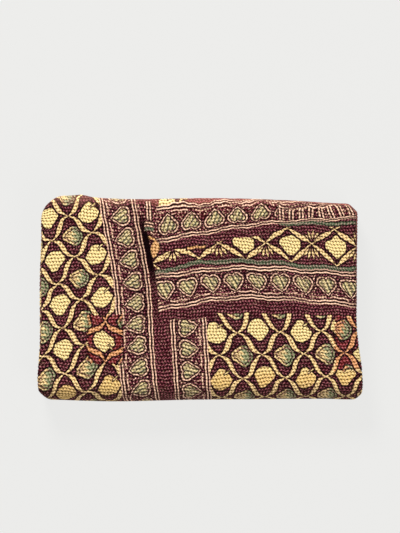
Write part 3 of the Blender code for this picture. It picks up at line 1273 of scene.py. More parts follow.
@dataclass
class StitchRows:
    """The running stitches, each a short swelling of thread lying in its dimple."""

    cloth: FoldedCloth
    patches: Sequence[DarnPatch]
    half_length: float = 0.00118
    half_width: float = 0.00031
    half_height: float = 0.00024
    shoulder: float = 0.55
    float_height: float = 0.00014
    tip_sink: float = 0.00012
    least_weight: float = 0.3   # of the quilting, where a stitch is shown
    lengths: tuple[float, float] = (0.8, 1.15)
    lean: float = 0.12
    stray: float = 0.00022
    slack: float = 0.8          # how much of the face's rise the thread doesn't follow
    seed: int = 11

    def stations(self) -> list[tuple[Zone, float, float]]:
        """Zone and flat place of every stitch.

        Returns:
            A zone and a place for each stitch.
        """
        cloth = self.cloth
        across = cloth.across
        left, right, tucked = (across.legs[k] for k in (LEFT_FOLD, RIGHT_FOLD, TUCKED_RUN))
        face = (left.start + left.length / 2, right.start + right.length / 2)
        zones = {NOSE: (Zone.FRONT, face), SHOWN: (Zone.TOP, face), BACK_FOLD: (Zone.BACK, face),
                 LOWER_BACK_FOLD: (Zone.BACK, (tucked.start, tucked.end))}
        found: list[tuple[Zone, float, float]] = []
        for row in range(cloth.row_starts[1] + 2, cloth.row_starts[-1]):
            v = cloth.v_of_row(row)
            shift = cloth.row_shift(row)
            number = cloth.along.number_at(v + NEAR)
            wanted = [(Zone.SIDES, (leg.start, leg.end)) for leg in (left, right)]
            if number in zones:
                wanted.append(zones[number])
            taken: set[int] = set()
            for zone, (low, high) in wanted:
                first = math.ceil(across.opened(low, SHOWN) / STITCH_PITCH + shift)
                last = math.floor(across.opened(high, SHOWN) / STITCH_PITCH + shift)
                for k in range(first, last + 1):
                    u = across.closed((k - shift) * STITCH_PITCH, SHOWN)
                    if k not in taken and cloth.weight(u, v) > self.least_weight:
                        taken.add(k)
                        found.append((zone, u, v))
        return found

    def add_stitch(self, u: float, v: float, lift: float, dice: random.Random,
                   skin: Skin) -> None:
        """Add one stitch to the skin of its zone.

        Args:
            u: place across the cloth.
            v: place along the cloth.
            lift: height of what it lies on over the face.
            dice: source of its small differences.
            skin: the zone's skin.
        """
        cloth = self.cloth
        number_u, number_v = cloth.numbers_at(u, v)
        stretch_u = cloth.across.legs[number_u].stretch
        stretch_v = cloth.along.legs[number_v].stretch
        half = self.half_length * dice.uniform(*self.lengths)
        lean = dice.uniform(-self.lean, self.lean)
        u += dice.uniform(-self.stray, self.stray)
        tone = dice.random()
        lift += self.float_height
        start = len(skin.points)
        shapes = [(-1.0, 0.0, 0.0, -self.tip_sink)]
        for end in (-self.shoulder, self.shoulder):
            shapes += [(end, 0.0, self.half_height, 0.0), (end, self.half_width, 0.0, 0.0),
                       (end, 0.0, -self.half_height, 0.0), (end, -self.half_width, 0.0, 0.0)]
        shapes.append((1.0, 0.0, 0.0, -self.tip_sink))
        for along, aside, up, sink in shapes:
            du = along * half
            height = lift + up + sink - self.follow(u, v, du, aside)
            skin.points.append(cloth.surface(u + du / stretch_u,
                                             v + (aside + lean * du) / stretch_v, height))
            skin.carry("thread", (tone, along, aside))
        for k in range(4):
            here, there = start + 1 + k, start + 1 + (k + 1) % 4
            skin.faces += [[start, here, there], [here, here + 4, there + 4, there],
                           [start + 9, there + 4, here + 4]]

    def follow(self, u: float, v: float, du: float, aside: float) -> float:
        """How far the quilted face rises at a stitch's point, which the thread doesn't.

        Args:
            u: place across the cloth.
            v: place along the cloth.
            du: distance from the stitch's middle along it.
            aside: distance to its side.

        Returns:
            The rise.
        """
        cloth = self.cloth
        phase = cloth.stitch_phase(u, cloth.row_at(v)) + du / STITCH_PITCH
        return (self.slack * cloth.weight(u, v) * cloth.relief
                * cloth.puff(aside / ROW_PITCH, phase))

    def build(self) -> dict[Zone, Piece]:
        """Build every zone's stitches.

        Returns:
            One piece for each zone.
        """
        dice = random.Random(self.seed)
        skins = {zone: Skin() for zone in Zone}
        for zone, u, v in self.stations():
            x, y = self.cloth.print_place(u, v)
            lift = max((patch.top for patch in self.patches
                        if patch.left < x < patch.right and patch.back < y < patch.front),
                       default=0.0)
            self.add_stitch(u, v, lift, dice, skins[zone])
        return {zone: skin.make(zone.value) for zone, skin in skins.items()}


# --- Shader arithmetic ---

def operator(kind: str, swapped: bool = False) -> Callable[..., "Value"]:
    """Make a method of Value that adds a Math node.

    Args:
        kind: the node's operation.
        swapped: whether the method's own value comes last.

    Returns:
        The method.
    """
    def apply(self: "Value", *others: "Number") -> "Value":
        """Add the node."""
        values = (self, *others)
        return self.graph.math(kind, *(values[::-1] if swapped else values))
    return apply


@dataclass(frozen=True, eq=False)
class Value:
    """A number worked out by a material, used in ordinary arithmetic.

    Of two masks from nought to one, & is both and | is either. Of two signed distances
    | is the greater, below nought only inside both shapes.
    """

    graph: "Graph"
    socket: Socket

    __add__ = __radd__ = operator("ADD")
    __sub__ = operator("SUBTRACT")
    __rsub__ = operator("SUBTRACT", swapped=True)
    __mul__ = __rmul__ = __and__ = operator("MULTIPLY")
    __truediv__ = operator("DIVIDE")
    __pow__ = operator("POWER")
    __or__ = operator("MAXIMUM")
    __abs__ = operator("ABSOLUTE")
    least = operator("MINIMUM")
    floor = operator("FLOOR")
    fraction = operator("FRACT")
    rounded = operator("ROUND")
    root = operator("SQRT")
    sine = operator("SINE")
    cosine = operator("COSINE")
    turned_from = operator("ARCTAN2")

    def __neg__(self) -> "Value":
        """Opposite."""
        return self * -1.0

    @property
    def nearest(self) -> "Value":
        """Offset from the nearest whole number."""
        return self - self.rounded()


Number = Value | float


class Graph:
    """A material's node tree."""

    noise_gain = 2.6            # brings most of a noise to between -1 and 1

    def __init__(self, name: str) -> None:
        """Start a material with its shader.

        Args:
            name: name of the material.
        """
        self.material = bpy.data.materials.new(name)
        self.material.use_nodes = True
        self.tree = self.material.node_tree
        self.shader = self.tree.nodes["Principled BSDF"]

    def fill(self, node: bpy.types.Node, inputs: dict[Any, Any]) -> None:
        """Link or set a node's input sockets, by name or number.

        Args:
            node: the node.
            inputs: values or links, by the socket.
        """
        for key, value in inputs.items():
            if isinstance(value, Value):
                value = value.socket
            if isinstance(value, Socket):
                self.tree.links.new(value, node.inputs[key])
            else:
                node.inputs[key].default_value = value

    def node(self, kind: str, inputs: dict[Any, Any], **settings: Any) -> bpy.types.Node:
        """Add a node.

        Args:
            kind: the node's kind.
            inputs: values or links of its sockets, by name or number.
            settings: properties that are set first.

        Returns:
            The node.
        """
        made = self.tree.nodes.new("ShaderNode" + kind)
        for key, setting in settings.items():
            setattr(made, key, setting)
        self.fill(made, inputs)
        return made

    def math(self, operation: str, *values: Number, clamp: bool = False) -> Value:
        """A Math node on one to three values."""
        made = self.node("Math", dict(enumerate(values)), operation=operation, use_clamp=clamp)
        return Value(self, made.outputs[0])

    def split(self, vector: Socket) -> tuple[Value, Value, Value]:
        """The three numbers of a vector."""
        made = self.node("SeparateXYZ", {0: vector})
        return tuple(Value(self, out) for out in made.outputs)

    def joined(self, *values: Value) -> Socket:
        """A vector of up to three numbers."""
        return self.node("CombineXYZ", dict(enumerate(values))).outputs[0]

    def carried(self, name: str) -> tuple[Value, Value, Value]:
        """The three numbers that a mesh's points carry under a name."""
        source = self.node("Attribute", {}, attribute_type="GEOMETRY", attribute_name=name)
        return self.split(source.outputs["Vector"])

    def noise(self, place: Socket, length: float, detail: float = 2.0,
              offset: float = 0.0) -> Value:
        """Soft noise about nought, mostly between -1 and 1.

        Args:
            place: place that it is worked out from.
            length: length of its lumps.
            detail: how many finer layers it has.
            offset: shift, which makes one noise differ from another.

        Returns:
            The noise.
        """
        moved = self.node("Mapping", {
            0: place, "Location": (offset, offset * 0.7, offset * 0.3)}).outputs[0]
        made = self.node("TexNoise", {"Vector": moved, "Scale": 1 / length, "Detail": detail},
                         noise_dimensions="3D")
        return (Value(self, made.outputs["Fac"]) - 0.5) * self.noise_gain

    def raised(self, height: Value, distance: float, strength: float) -> Socket:
        """A bump from a height."""
        return self.node("Bump", {
            "Height": height, "Distance": distance, "Strength": strength}).outputs[0]

    def cover(self, piece: Piece, inputs: dict[str, Any]) -> None:
        """Set the shader's inputs and give the material to a piece."""
        self.fill(self.shader, inputs)
        piece.data.materials.append(self.material)


def inside(distance: Value, soft: float = 0.5) -> Value:
    """One where a signed distance is below nought, with a soft edge."""
    return distance.graph.math("MULTIPLY_ADD", distance, -1 / soft, 0.5, clamp=True)


def wave(value: Value, turns: float = 1.0) -> Value:
    """A sine that repeats with every whole number over turns."""
    return (value * (math.tau * turns)).sine()


def length(a: Value, b: Value) -> Value:
    """Length of a flat vector."""
    return (a * a + b * b).root()


def between(share: Value, first: Number, second: Number) -> Value:
    """Blend two numbers by a share."""
    made = share.graph.node("Mix", {0: share, 2: first, 3: second}, data_type="FLOAT")
    return Value(share.graph, made.outputs[0])


def blend(share: Value, first: Any, second: Any, mode: str = "MIX") -> Socket:
    """Blend two colours by a share."""
    made = share.graph.node("Mix", {0: share, 6: first, 7: second}, data_type="RGBA",
                            blend_type=mode)
    return made.outputs[2]


def shade(red: int, green: int, blue: int) -> Colour:
    """A linear colour from the shades a dyer's card gives, 0 to 255."""
    parts = [level / 255 for level in (red, green, blue)]
    return (*(part / 12.92 if part <= 0.04045 else ((part + 0.055) / 1.055) ** 2.4
              for part in parts), 1.0)


@dataclass(frozen=True)
class PrintedCotton:
    """Old block-printed cotton: trellis, leaves, hearts and stripes on maroon."""

    name: str = "printed cotton"
    ground: Colour = shade(58, 4, 17)
    warm_ground: Colour = shade(98, 30, 24)
    deep_ground: Colour = shade(40, 1, 10)
    outline: Colour = shade(6, 0, 2)
    cream: Colour = shade(252, 228, 158)
    front_cream: Colour = shade(238, 202, 126)
    stroke: Colour = shade(252, 220, 156)
    line: Colour = shade(251, 208, 178)
    green: Colour = shade(88, 110, 84)
    leaf_tone: Colour = shade(138, 154, 112)
    leaf_green: Colour = shade(224, 207, 152)
    scrap_tone: Colour = shade(230, 178, 116)
    reverse: Colour = shade(132, 68, 62)
    deep_reverse: Colour = shade(98, 42, 42)
    slub: Colour = shade(205, 170, 160)
    # painted shade, multiplied into the stitched valleys and dimples
    valley: Colour = (0.10, 0.07, 0.03, 1.0)
    # painted highlight, screened onto the ridges between the rows
    ridge_highlight: Colour = (0.30, 0.098, 0.118, 1.0)
    # painted highlight, screened along the back edge and, weaker, the front
    edge_highlight: Colour = (0.20, 0.085, 0.06, 1.0)
    back_highlight_edge: float = 203.0     # steps to the back and the front of which the painted highlight lies
    front_highlight_edge: float = 390.0
    warmth: float = 0.0
    roughness: float = 0.9
    gloss: float = 0.03
    thread_x: float = 0.0007    # spacing of the weave's threads, two ways
    thread_y: float = 0.00062

    def dress(self, piece: Piece) -> None:
        """Give a piece this finish.

        Args:
            piece: the piece.
        """
        graph = Graph(self.name)
        face = Printing(self, graph, self.ground)
        rows, _, side = graph.carried("rows")
        layout_y = graph.carried("layout")[1]
        crease_shade, lines = face.draw_all()
        # painted shade in the stitched valleys and painted highlights on the ridges, here and
        # below on the reverse
        face.age()
        face.lay(lines * 0.28, self.line)
        # painted highlight along the back edge and, a quarter as strong, the front edge
        edge_highlight = inside(layout_y - self.back_highlight_edge, 8.0) | inside(
            self.front_highlight_edge - layout_y, 16.0) * 0.25
        face.lay(edge_highlight * 0.5, self.edge_highlight, "SCREEN")
        # painted shade along the crease, laid in the outline's near-black
        face.lay(crease_shade, self.outline)
        back = Printing(self, graph, self.reverse)
        back.lay(inside(graph.noise(back.place, 0.03, 2.0, 0.4), 1.5), self.deep_reverse)
        back.age()
        x, y, _ = graph.split(face.place)
        weave = wave(x, 1 / self.thread_x) * wave(y, 1 / self.thread_y)
        height = weave * 0.35 - (rows * math.tau).cosine() * 0.35
        graph.cover(piece, {
            "Base Color": blend(inside(0.5 - side, 0.05), face.colour, back.colour),
            "Normal": graph.raised(height, 0.00035, 0.55),
            "Roughness": self.roughness, "Specular IOR Level": self.gloss})


class Printing:
    """The drawing of the print on one face, motif over motif, in steps of the layout."""

    band_half = 18.3            # half a band of hearts, with its outer lines
    left_end = 22.0             # from the long band's middle to the left part's end
    crease_shade_sides = (18.6, 24.8)   # and to the sides of the painted shade along the crease
    seam_turn = 221.0           # to the back of this the bands start further out, at
    seam_out = 24.6
    beyond = (173.0, 14.0)      # middle and half width of the trellis at the back
    patch_side = 156.5          # where the back patch starts
    plain_turn = 266.0          # to the right of this the leafy strip's plain hem is wider
    plain_hems = (12.5, 3.0)
    ladder_start = 277.5        # where the row of bars starts
    stripe_end = 280.0          # where the back stripe ends, under it
    speck_scale = 350.0
    fray_length = 0.0042        # lumps of the noise that frays the motifs' edges, in metres,
    fray = 0.45                 # and how far it frays them
    trellis_pitch = 31.0        # from one line of petals to the next
    petal_half = 0.35           # half a petal's width at a crossing, and what it swells by
    petal_swell = 1.95
    fan_turn = 0.40             # from one petal of a fan to the next, in radians
    fan_reach = 9.5             # from the crossing to where a fan's petal is widest,
    fan_half = 1.25             # and half its width there
    heart_pitch = 20.8          # from heart to heart, before they are fitted to a band
    heart_radius = 8.2          # of a heart's round part
    bar_pitch = 9.8             # from one pair of bars to the next,
    bar_apart = 1.7             # from a pair's middle to its bars,
    bar_half = 0.75             # and half a bar's width
    line_at = 16.2              # from a band's middle to its double line's,
    line_apart = 1.6            # from there to each thin line,
    line_half = 0.62            # and half a thin line's width

    def __init__(self, inks: PrintedCotton, graph: Graph, colour: Colour) -> None:
        """Take up a plain cloth.

        Args:
            inks: colours of the print.
            graph: the material's nodes.
            colour: colour of the cloth.
        """
        self.inks = inks
        self.graph = graph
        self.colour: Any = colour
        self.place = graph.node("UVMap", {}, uv_map="cloth").outputs[0]

    @cached_property
    def ragged(self) -> Value:
        """Small noise that frays the edges of the motifs, in steps."""
        return self.graph.noise(self.place, self.fray_length, 1.5) * self.fray

    def lay(self, share: Value, ink: Any, mode: str = "MIX") -> None:
        """Lay an ink over what is there."""
        self.colour = blend(share, self.colour, ink, mode)

    def draw(self, rim: Value, shape: Value, zone: Value, ink: Any, rim_soft: float = 0.5,
             soft: float = 0.5) -> None:
        """Draw a motif with its dark outline.

        Args:
            rim: signed distance from the outline's outer edge.
            shape: signed distance from the motif's edge.
            zone: where it is printed.
            ink: its colour.
            rim_soft: softness of the outline's edge.
            soft: softness of the motif's edge.
        """
        self.lay(inside(rim, rim_soft) & zone, self.inks.outline)
        self.lay(inside(shape, soft) & zone, ink)

    def draw_all(self) -> tuple[Value, Value]:
        """Draw the whole printed face, piece by piece.

        Returns:
            How strongly the painted shade along the crease lies at a place, and where the bands'
            fine lines run.
        """
        graph, inks, ragged, half = self.graph, self.inks, self.ragged, self.band_half
        x, y, side = graph.carried("layout")
        up_count, up_offset, up_below = graph.carried("upright")
        level_count, level_offset, below = graph.carried("level")
        top, low_stripe, high_stripe = graph.carried("rails")

        # which piece of the patchwork, and what is printed on it
        lower = inside(-below)
        left_part = inside(side - self.left_end)
        upright_zone = left_part | inside(4 - up_below)
        upright_band = inside(abs(up_offset) - half) & upright_zone
        left_field = inside(up_offset + half) & (left_part | lower)
        seam_end = between(inside(self.seam_turn - y, 3.0), half, self.seam_out)
        level_zone = inside(seam_end - side) & (1 - lower)
        middle, width = self.beyond
        beyond = inside(level_offset + half) & inside(8 - top) & level_zone
        beyond = beyond & inside(abs(x - middle) - width)
        level_band = inside(abs(level_offset) - half) & level_zone
        top_patch = inside(-2 - top) & level_zone
        patch_start = inside(-5 - top) & level_zone & inside(x - self.patch_side)
        ladder = inside(self.ladder_start - x) & top_patch
        plain = between(inside(self.plain_turn - x, 4.0), *self.plain_hems)
        strip = inside(top + plain) & inside(-1.5 - low_stripe) & level_zone & (1 - level_band)
        strip = strip & (1 - (inside(self.stripe_end - x) & inside(high_stripe - 2.8)))
        band = upright_band | level_band

        # the ground, with a warmer, redder piece at the back
        blotch = graph.noise(self.place, 0.035, 2.0, 3.0)
        self.lay(inside(blotch * 0.5, 1.6), inks.deep_ground)
        warm = top_patch & inside(-(x - 150) * 0.02 + blotch * 0.5, 1.2)
        warm = warm & (1 - (ladder & inside(x - 336, 16.0)) * 0.9)
        self.lay(warm | inks.warmth, inks.warm_ground)
        self.lay(band * 0.7, inks.deep_ground)
        self.lay(self.specks() & (band * 0.75 + 0.18), inks.line)

        self.trellis(left_field | beyond | strip)
        offset = between(upright_band, level_offset, up_offset)
        band = band & (1 - patch_start)
        self.hearts(between(upright_band, level_count, up_count), offset, band & (1 - ladder))
        self.ladder(x, y, ladder)
        lines = self.double_line(offset, band)
        stripe = (inside(abs(low_stripe) - 2.0 + ragged) & level_zone
                  | (inside(abs(high_stripe) - 1.6 + ragged) & inside(self.stripe_end - x)
                     & inside(top + 2.4)) & level_zone)
        rim = (inside(abs(low_stripe) - 2.9 + ragged) | (inside(abs(high_stripe) - 2.6 + ragged)
               & inside(self.stripe_end - 1 - x) & inside(top + 2))) & level_zone
        self.lay(rim * 0.8, inks.outline)
        self.lay(stripe, inks.green)
        self.scraps(x, y)

        # painted shade down the crease between the two pieces, darkest about the crease's deepest
        # part, kept off the caught scraps
        low, high = self.crease_shade_sides
        crease_shade = inside(low - side, 1.0) & inside(side - high, 1.6) & (1 - lower)
        deepest = inside(abs(y - 250) - 30, 22.0) * 0.68 + 0.3
        crease_shade = crease_shade & inside(216 - y, 6.0) & deepest
        scrap = inside(abs(y - 226.5) - 5.5, 1.0) & inside(144.5 - x, 1.0)
        return crease_shade & (1 - scrap), lines

    def scraps(self, x: Value, y: Value) -> None:
        """Draw cut-off ends of another border, caught where the two pieces are sewn together.

        Args:
            x: place to the right in the layout.
            y: place to the front in the layout.
        """
        inks, ragged = self.inks, self.ragged
        upright = abs(abs(x - 148.6 - (y - 210) * 0.08) - 1.5) - 0.7 + ragged * 0.6
        upright = upright | abs(y - 210.5) - 9.5
        level = abs(abs(y - 224.8) - 1.6) - 0.7 + ragged * 0.6
        level = level | abs(x - 149.0) - 4.5
        lines = upright.least(level)
        block = (abs(y - 229.6) - 1.7 | abs(x - 149.2) - 4.6) + ragged
        self.lay(inside(lines - 1.2), inks.outline)
        self.lay(inside(block), inks.green)
        leaf = length((x - 155.0) * 0.8, (y - 249.5 + (x - 155.0) * 0.6) * 0.42) - 3.4
        end = abs(y - 238.6 - (x - 150) * 0.25) - 1.3 | abs(x - 151.4) - 4.0
        caught = abs(y - 247.8 + (x - 196) * 0.13) - 1.1 | abs(x - 196) - 9.0
        pieces = leaf.least(end).least(caught) + ragged
        self.lay(inside(pieces - 1.3), inks.outline)
        self.lay(inside(pieces), inks.scrap_tone)
        self.lay(inside(lines), inks.line)

    def specks(self) -> Value:
        """Small dots scattered over the ground."""
        made = self.graph.node("TexVoronoi", {"Vector": self.place, "Scale": self.speck_scale},
                               feature="F1")
        return inside(Value(self.graph, made.outputs["Distance"]) - 0.30, 0.14)

    def trellis(self, zone: Value) -> None:
        """Draw the crossing petals with a leaf in every cell.

        Args:
            zone: where the trellis is printed.
        """
        graph, inks, ragged = self.graph, self.inks, self.ragged
        p, q, kind = graph.carried("lattice")
        bow = between(kind, 0.062, 0.0)
        petal, other = (abs(second.nearest - wave(first) * bow) * self.trellis_pitch
                        - (abs(wave(first, 0.5)) ** 1.5 * self.petal_swell + self.petal_half)
                        for first, second in ((p, q), (q, p)))
        petal = petal.least(other) + ragged * 0.8

        # the leaf, upright or hanging in a cream cell and lying sideways in a green one
        cell_p, cell_q = p.floor(), q.floor()
        in_p, in_q = p - cell_p - 0.5, q - cell_q - 0.5
        x = in_p * (kind * 3.0 + 23.4) + in_q * 19.8
        y = in_p * (22.9 - kind * 7.5) - in_q * (24.0 - kind * 5.0)
        half_sum = (cell_p + cell_q) * 0.5
        green_cell = half_sum.fraction() * 2
        hanging = (half_sum.floor() * 0.5).fraction() * 2
        sideways = green_cell | kind
        turn = graph.noise(graph.joined(cell_p, cell_q), 1.7, 0.0, 0.3) * 0.5
        tilted_x = x + y * turn
        tilted_y = y - x * turn
        tip = between(sideways, tilted_y * (hanging * 2 - 1), -tilted_x)
        across = between(sideways, tilted_x, tilted_y)
        flank = abs(across) * 0.79 + tip * 0.61 - 7.8
        leaf = (flank | length(across * 0.96, tip + 1.2) - 10.5) + ragged * 1.7
        layout_x, layout_y, _ = graph.carried("layout")
        hidden = inside(0.5 - abs(cell_p - cell_q)) | inside(layout_x - 222)
        # the cream turns more golden towards the front
        cream = blend(inside(371 - layout_y, 10.0), inks.cream, inks.front_cream)

        streaks = wave(across * 0.17 + tip * 0.11 + ragged * 0.2) * 2.6
        green = blend(inside(tip + ragged * 5 + 1.5 + streaks, 4.0), inks.stroke, inks.leaf_tone)
        fork = abs(abs(across) - 0.16 * (10 - tip)) - 0.45 + ragged
        fork = fork | tip - 9.0
        groove = (abs(leaf + 2.5) - 0.75 + ragged * 0.8).least(fork | tip * -1 + 1.0)
        green = blend(inside(groove, 0.6) * 0.9, green, inks.outline)
        self.draw(leaf - 2.1 + ragged, leaf, zone & (1 - kind * hidden),
                  blend(green_cell, cream, green), 0.8)

        tick = abs((x - 6.4) * 0.55 + (y + 6.4) * 0.83) - 0.55 | abs(x - 6.4) - 3.2
        self.draw(tick - 1.0, tick, (1 - sideways) & (1 - hanging) & zone, inks.cream)
        self.draw(petal - 2.1 + ragged * 0.7, petal, zone, inks.stroke, 0.8)
        self.fans(p, q, kind & zone)

    def fans(self, p: Value, q: Value, zone: Value) -> None:
        """Draw little fans of petals under and over the crossings of the leafy strip.

        Args:
            p: first count of the lattice.
            q: second count.
            zone: where it is printed.
        """
        near_p, near_q = p.nearest, q.nearest
        crossing = 1 - ((p - near_p + q - near_q) * 0.5).fraction() * 2
        x = near_p * 26.0 + near_q * 20.0
        y = near_p * 15.0 - near_q * 19.0
        reach = length(x, y)
        over = inside(y, 0.1)
        turned = x.turned_from(abs(y)) / self.fan_turn
        aside = abs((turned + over * 0.5).fraction() - 0.5) * self.fan_turn * reach
        swell = self.fan_half - abs(reach - self.fan_reach) * 0.27
        petal = (aside - swell | (abs(turned) - 1.9) * 5.0) + self.ragged * 0.5
        shown = zone & inside(0.5 - crossing) & (1 - over * inside(p + q - 3.3))
        self.draw(petal - 0.9, petal, shown, self.inks.stroke, soft=0.4)

    def hearts(self, count: Value, offset: Value, zone: Value) -> None:
        """Draw a band's hearts, each an outline round a small leaf.

        Args:
            count: place along the band, whole between two hearts.
            offset: place across the band, in steps, towards the hearts' lobes.
            zone: where the hearts are printed.
        """
        inks, ragged = self.inks, self.ragged
        lean = self.graph.noise(self.graph.joined(count.floor()), 1.3, 0.0, 0.7)
        x = (count.fraction() - 0.5) * self.heart_pitch + offset * lean * 0.12
        y = offset * 0.95 - 0.5 - lean * 0.5
        round_part = length(x * 0.97, y + 1.2 - (abs(x) * 8.0).root() * 0.55)
        round_part = round_part - self.heart_radius
        heart = (round_part | abs(x) * 0.84 - y * 0.54 - 6.0) + ragged * 0.9
        self.draw(heart - 2.0, heart + 1.6, zone, inks.deep_ground, soft=0.6)
        folds = wave(x * 0.24 + (y + ragged * 2.0) * (0.10 + lean * 0.08))
        leaf = blend(inside(folds * 1.1 + x * 0.10 - 0.3 + ragged * 3, 1.8), inks.green,
                     inks.leaf_green)
        leaf = blend(inside(folds * -2.2 + 1.6, 0.8) * 0.6, leaf, inks.outline)
        self.lay(inside(heart + 1.9, 0.6) & zone, leaf)
        tip_line = abs(y + 10.6 + ragged) - 0.55 | 3.0 - abs(x)
        for shape in (tip_line, abs(heart) - 0.5):
            self.lay(inside(shape) & zone, inks.line)

    def ladder(self, x: Value, y: Value, zone: Value) -> None:
        """Draw a row of paired bars that lean over at its end, with an arched line over them.

        Args:
            x: place to the right in the layout.
            y: place to the front in the layout.
            zone: where it is printed.
        """
        pitch, ragged = self.bar_pitch, self.ragged
        lean = (y - 211) * inside(324 - x, 16.0) * 0.42
        bars = ((x - lean - 276.6) * (1 / pitch)).fraction() - 0.5
        under = (y - 209.2) + (x - 303) * (x - 303) * 0.008
        pair = abs(abs(bars * pitch) - self.bar_apart) - self.bar_half + ragged * 0.8 | -under
        arch = (abs(under + ragged) - 0.6).least(abs(under + 3.4 + ragged) - 0.35)
        drawn = pair.least(arch)
        self.draw(drawn - 1.1, drawn, zone, self.inks.line)

    def double_line(self, offset: Value, zone: Value) -> Value:
        """Draw the pair of thin lines along each side of a band, and give where they run.

        Args:
            offset: place across the band.
            zone: where it is printed.

        Returns:
            Where the lines run.
        """
        pair = abs(abs(abs(offset) - self.line_at) - self.line_apart) + self.ragged * 0.5
        self.lay(inside(pair - 2.0) & zone, self.inks.outline)
        lines = inside(pair - self.line_half) & zone
        self.lay(lines, self.inks.line)
        return lines

    def age(self) -> None:
        """Paint shade into the stitched valleys and highlights onto the ridges, unevenly, and
        darken the cloth in slubby flecks.
        """
        graph, inks, place = self.graph, self.inks, self.place
        rows, stitch, _ = graph.carried("rows")
        ripple = wave(stitch) * (graph.noise(place, 0.03, 1.0, 14.0) * 0.10 + 0.12)
        rows = rows + graph.noise(place, 0.007, 1.0, 2.0) * 0.11 + ripple
        stitch = stitch + graph.noise(place, 0.006, 1.0, 7.0) * 0.34
        valley, dimple = ((phase * math.tau).cosine() * 0.5 + 0.5 for phase in (rows, stitch))
        uneven = graph.noise(place, 0.010, 2.0, 6.0)
        chains = inside(graph.noise(place, 0.022, 1.0, 4.0) + 0.25, 0.9)
        in_rows = valley ** 1.3 * (0.60 + dimple * 0.40) + (1 - valley) * dimple ** 2 * 0.35
        in_chains = dimple ** 1.3 * (0.55 + valley * 0.45) + (1 - dimple) * valley ** 2 * 0.5
        depth = between(chains, in_rows, in_chains) * (1.05 + uneven * 0.25)
        bright = Value(graph, graph.node("RGBToBW", {0: self.colour}).outputs[0])
        shown = inside(0.0022 - bright, 0.004) * 0.6 + 0.4
        # painted shade: the stitched valleys and dimples multiplied darker, in rows or in chains
        self.lay(depth.least(1.0), inks.valley, "MULTIPLY")
        # painted highlight on the crests between rows and stitches, stronger on dark colours and
        # uneven in patches
        crest_highlight = (1 - valley * 0.95) * (1 - dimple * 0.9)
        worn = graph.noise(place, 0.05, 3.0, 9.0)
        crest_highlight = (crest_highlight | 0.0) ** 1.9 * (1.1 + uneven * 1.2 + worn * 0.3)
        self.lay(crest_highlight * shown | 0.0, inks.ridge_highlight, "SCREEN")
        slub = graph.noise(place, 0.0009, 1.0, 12.0)
        self.lay(inside(slub, 2.0) * 0.16, inks.slub, "MULTIPLY")


@dataclass(frozen=True)
class CottonThread:
    """Dull, twisted quilting thread."""

    name: str = "quilting thread"
    light: Colour = shade(74, 26, 24)
    dark: Colour = shade(22, 3, 5)
    strand: Colour = shade(120, 84, 80)
    roughness: float = 0.8
    gloss: float = 0.05
    twist: float = 5.0          # turns of the strands in half a stitch
    slope: float = 1500.0       # turns in a metre across it

    def dress(self, piece: Piece) -> None:
        """Give a piece this finish.

        Args:
            piece: the piece.
        """
        graph = Graph(self.name)
        tone, along, aside = graph.carried("thread")
        strands = wave(along * self.twist + aside * self.slope)
        colour = blend(tone, self.dark, self.light)
        graph.cover(piece, {
            "Base Color": blend(inside(strands, 1.5) * 0.35, colour, self.strand, "MULTIPLY"),
            "Normal": graph.raised(strands, 0.00006, 0.6),
            "Roughness": self.roughness, "Specular IOR Level": self.gloss})


@dataclass(frozen=True)
class PaleFloor:
    """A plain, matt, pale floor."""

    name: str = "pale floor"
    colour: Colour = (0.035, 0.035, 0.0346, 1.0)
    grain: Colour = (0.029, 0.029, 0.0286, 1.0)
    glow: Colour = (1.0, 1.0, 0.985, 1.0)
    glow_strength: float = 0.779
    roughness: float = 0.9
    gloss: float = 0.1

    def dress(self, piece: Piece) -> None:
        """Give a piece this finish.

        Args:
            piece: the piece.
        """
        graph = Graph(self.name)
        place = graph.node("TexCoord", {}).outputs["Object"]
        share = inside(graph.noise(place, 0.4), 3.0) * 0.04
        graph.cover(piece, {
            "Base Color": blend(share, self.colour, self.grain),
            "Emission Color": self.glow, "Emission Strength": self.glow_strength,
            "Roughness": self.roughness, "Specular IOR Level": self.gloss})


# --- Studio ---

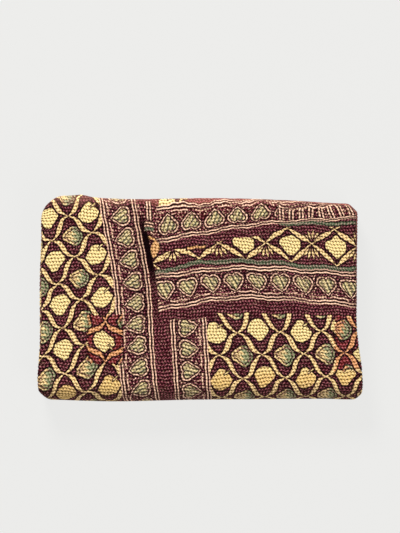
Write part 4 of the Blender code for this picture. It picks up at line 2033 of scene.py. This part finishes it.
@dataclass
class Studio:
    """A pale floor, soft lights and a camera looking straight down."""

    floor_size: float = 8.0
    camera_distance: float = 3.5
    camera_x: float = -0.0006
    camera_y: float = 0.0420
    top_height: float = 0.052
    view_width: float = 0.5169
    sensor: float = 36.0
    far_end: float = 50.0
    sky: Colour = (0.94, 0.955, 1.0, 1.0)
    sky_strength: float = 0.30
    # name, place, aimed at, size, power, colour
    lights: tuple[tuple[str, Point, Point, float, float, Point], ...] = (
        ("window light", (-1.3, 3.9, 3.0), (0.0, 0.0, 0.02), 1.5, 450.0, (1.0, 0.975, 0.93)),
        ("fill light", (2.4, -2.2, 3.6), (0.0, 0.0, 0.02), 2.5, 112.0, (1.0, 0.95, 0.90)),
    )

    def build(self) -> None:
        """Build the floor, the lights and the camera."""
        bpy.ops.object.select_all(action="DESELECT")
        bpy.ops.mesh.primitive_plane_add(size=self.floor_size)
        floor = bpy.context.object
        floor.name = floor.data.name = "floor"
        PaleFloor().dress(floor)
        floor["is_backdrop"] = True
        for light in self.lights:
            self.add_light(*light)
        self.add_sky()
        self.add_camera()
        bpy.context.scene.view_settings.view_transform = "Standard"

    @staticmethod
    def add_light(name: str, place: Point, target: Point, size: float, power: float,
                  colour: Point) -> None:
        """Add one soft square light.

        Args:
            name: name of the light.
            place: where it hangs.
            target: what it is aimed at.
            size: length of its sides.
            power: its power in watts.
            colour: its colour.
        """
        data = bpy.data.lights.new(name, "AREA")
        data.size = size
        data.energy = power
        data.color = colour
        lamp = bpy.data.objects.new(name, data)
        lamp.location = place
        x, y, z = (a - b for a, b in zip(place, target))
        lamp.rotation_euler = (math.atan2(math.hypot(x, y), z), 0.0, math.atan2(x, -y))
        bpy.context.scene.collection.objects.link(lamp)

    def add_sky(self) -> None:
        """Add even light from all round."""
        world = bpy.data.worlds.new("sky")
        world.use_nodes = True
        background = world.node_tree.nodes["Background"]
        background.inputs["Color"].default_value = self.sky
        background.inputs["Strength"].default_value = self.sky_strength
        bpy.context.scene.world = world

    def add_camera(self) -> None:
        """Add a camera straight over the bundle, its top edge to the back."""
        data = bpy.data.cameras.new("camera")
        data.sensor_fit = "HORIZONTAL"
        data.sensor_width = self.sensor
        data.lens = self.sensor * self.camera_distance / self.view_width
        data.clip_end = self.far_end
        camera = bpy.data.objects.new("camera", data)
        camera.location = (self.camera_x, self.camera_y, self.top_height + self.camera_distance)
        bpy.context.scene.collection.objects.link(camera)
        bpy.context.scene.camera = camera


def corners(box: Iterable[Iterable[float]]) -> list[list[float]]:
    """A box as plain lists of numbers."""
    return [[float(value) for value in corner] for corner in box]


def main() -> None:
    """Build and dress the quilt, then the studio around it."""
    logging.basicConfig(level=logging.INFO, format="%(message)s")
    cloth = FoldedCloth()
    shared = {"cloth": cloth, "grid": Grid(cloth), "layout": PrintLayout()}
    quilt = Quilt(**shared)
    body = quilt.build()
    PrintedCotton().dress(body)
    patches = [
        DarnPatch(name="darn_patch_left", pattern=Pattern.TURNED, left=87.5, right=122.5,
                  back=315.0, front=364.0, seed=3, **shared),
        DarnPatch(name="darn_patch_right", pattern=Pattern.FIELD, left=335.0, right=368.0,
                  back=317.0, front=370.0, seed=8, **shared),
    ]
    worn = PrintedCotton("worn printed cotton", ground=shade(128, 36, 34),
                         deep_ground=shade(112, 28, 30), stroke=shade(232, 168, 112), warmth=0.35)
    patch_pieces = [patch.build() for patch in patches]
    for piece in patch_pieces:
        worn.dress(piece)
    stitches = list(StitchRows(cloth, patches).build().values())
    for piece in stitches:
        CottonThread().dress(piece)
    for piece in (body, *patch_pieces, *stitches):
        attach(piece, "root")
        LOG.info("%s: %d faces", piece.name, len(piece.data.polygons))
    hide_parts("quilt")
    Studio().build()
    corners(SOLID_BOX)
    corners(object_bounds())


if __name__ == "__main__":
    main()
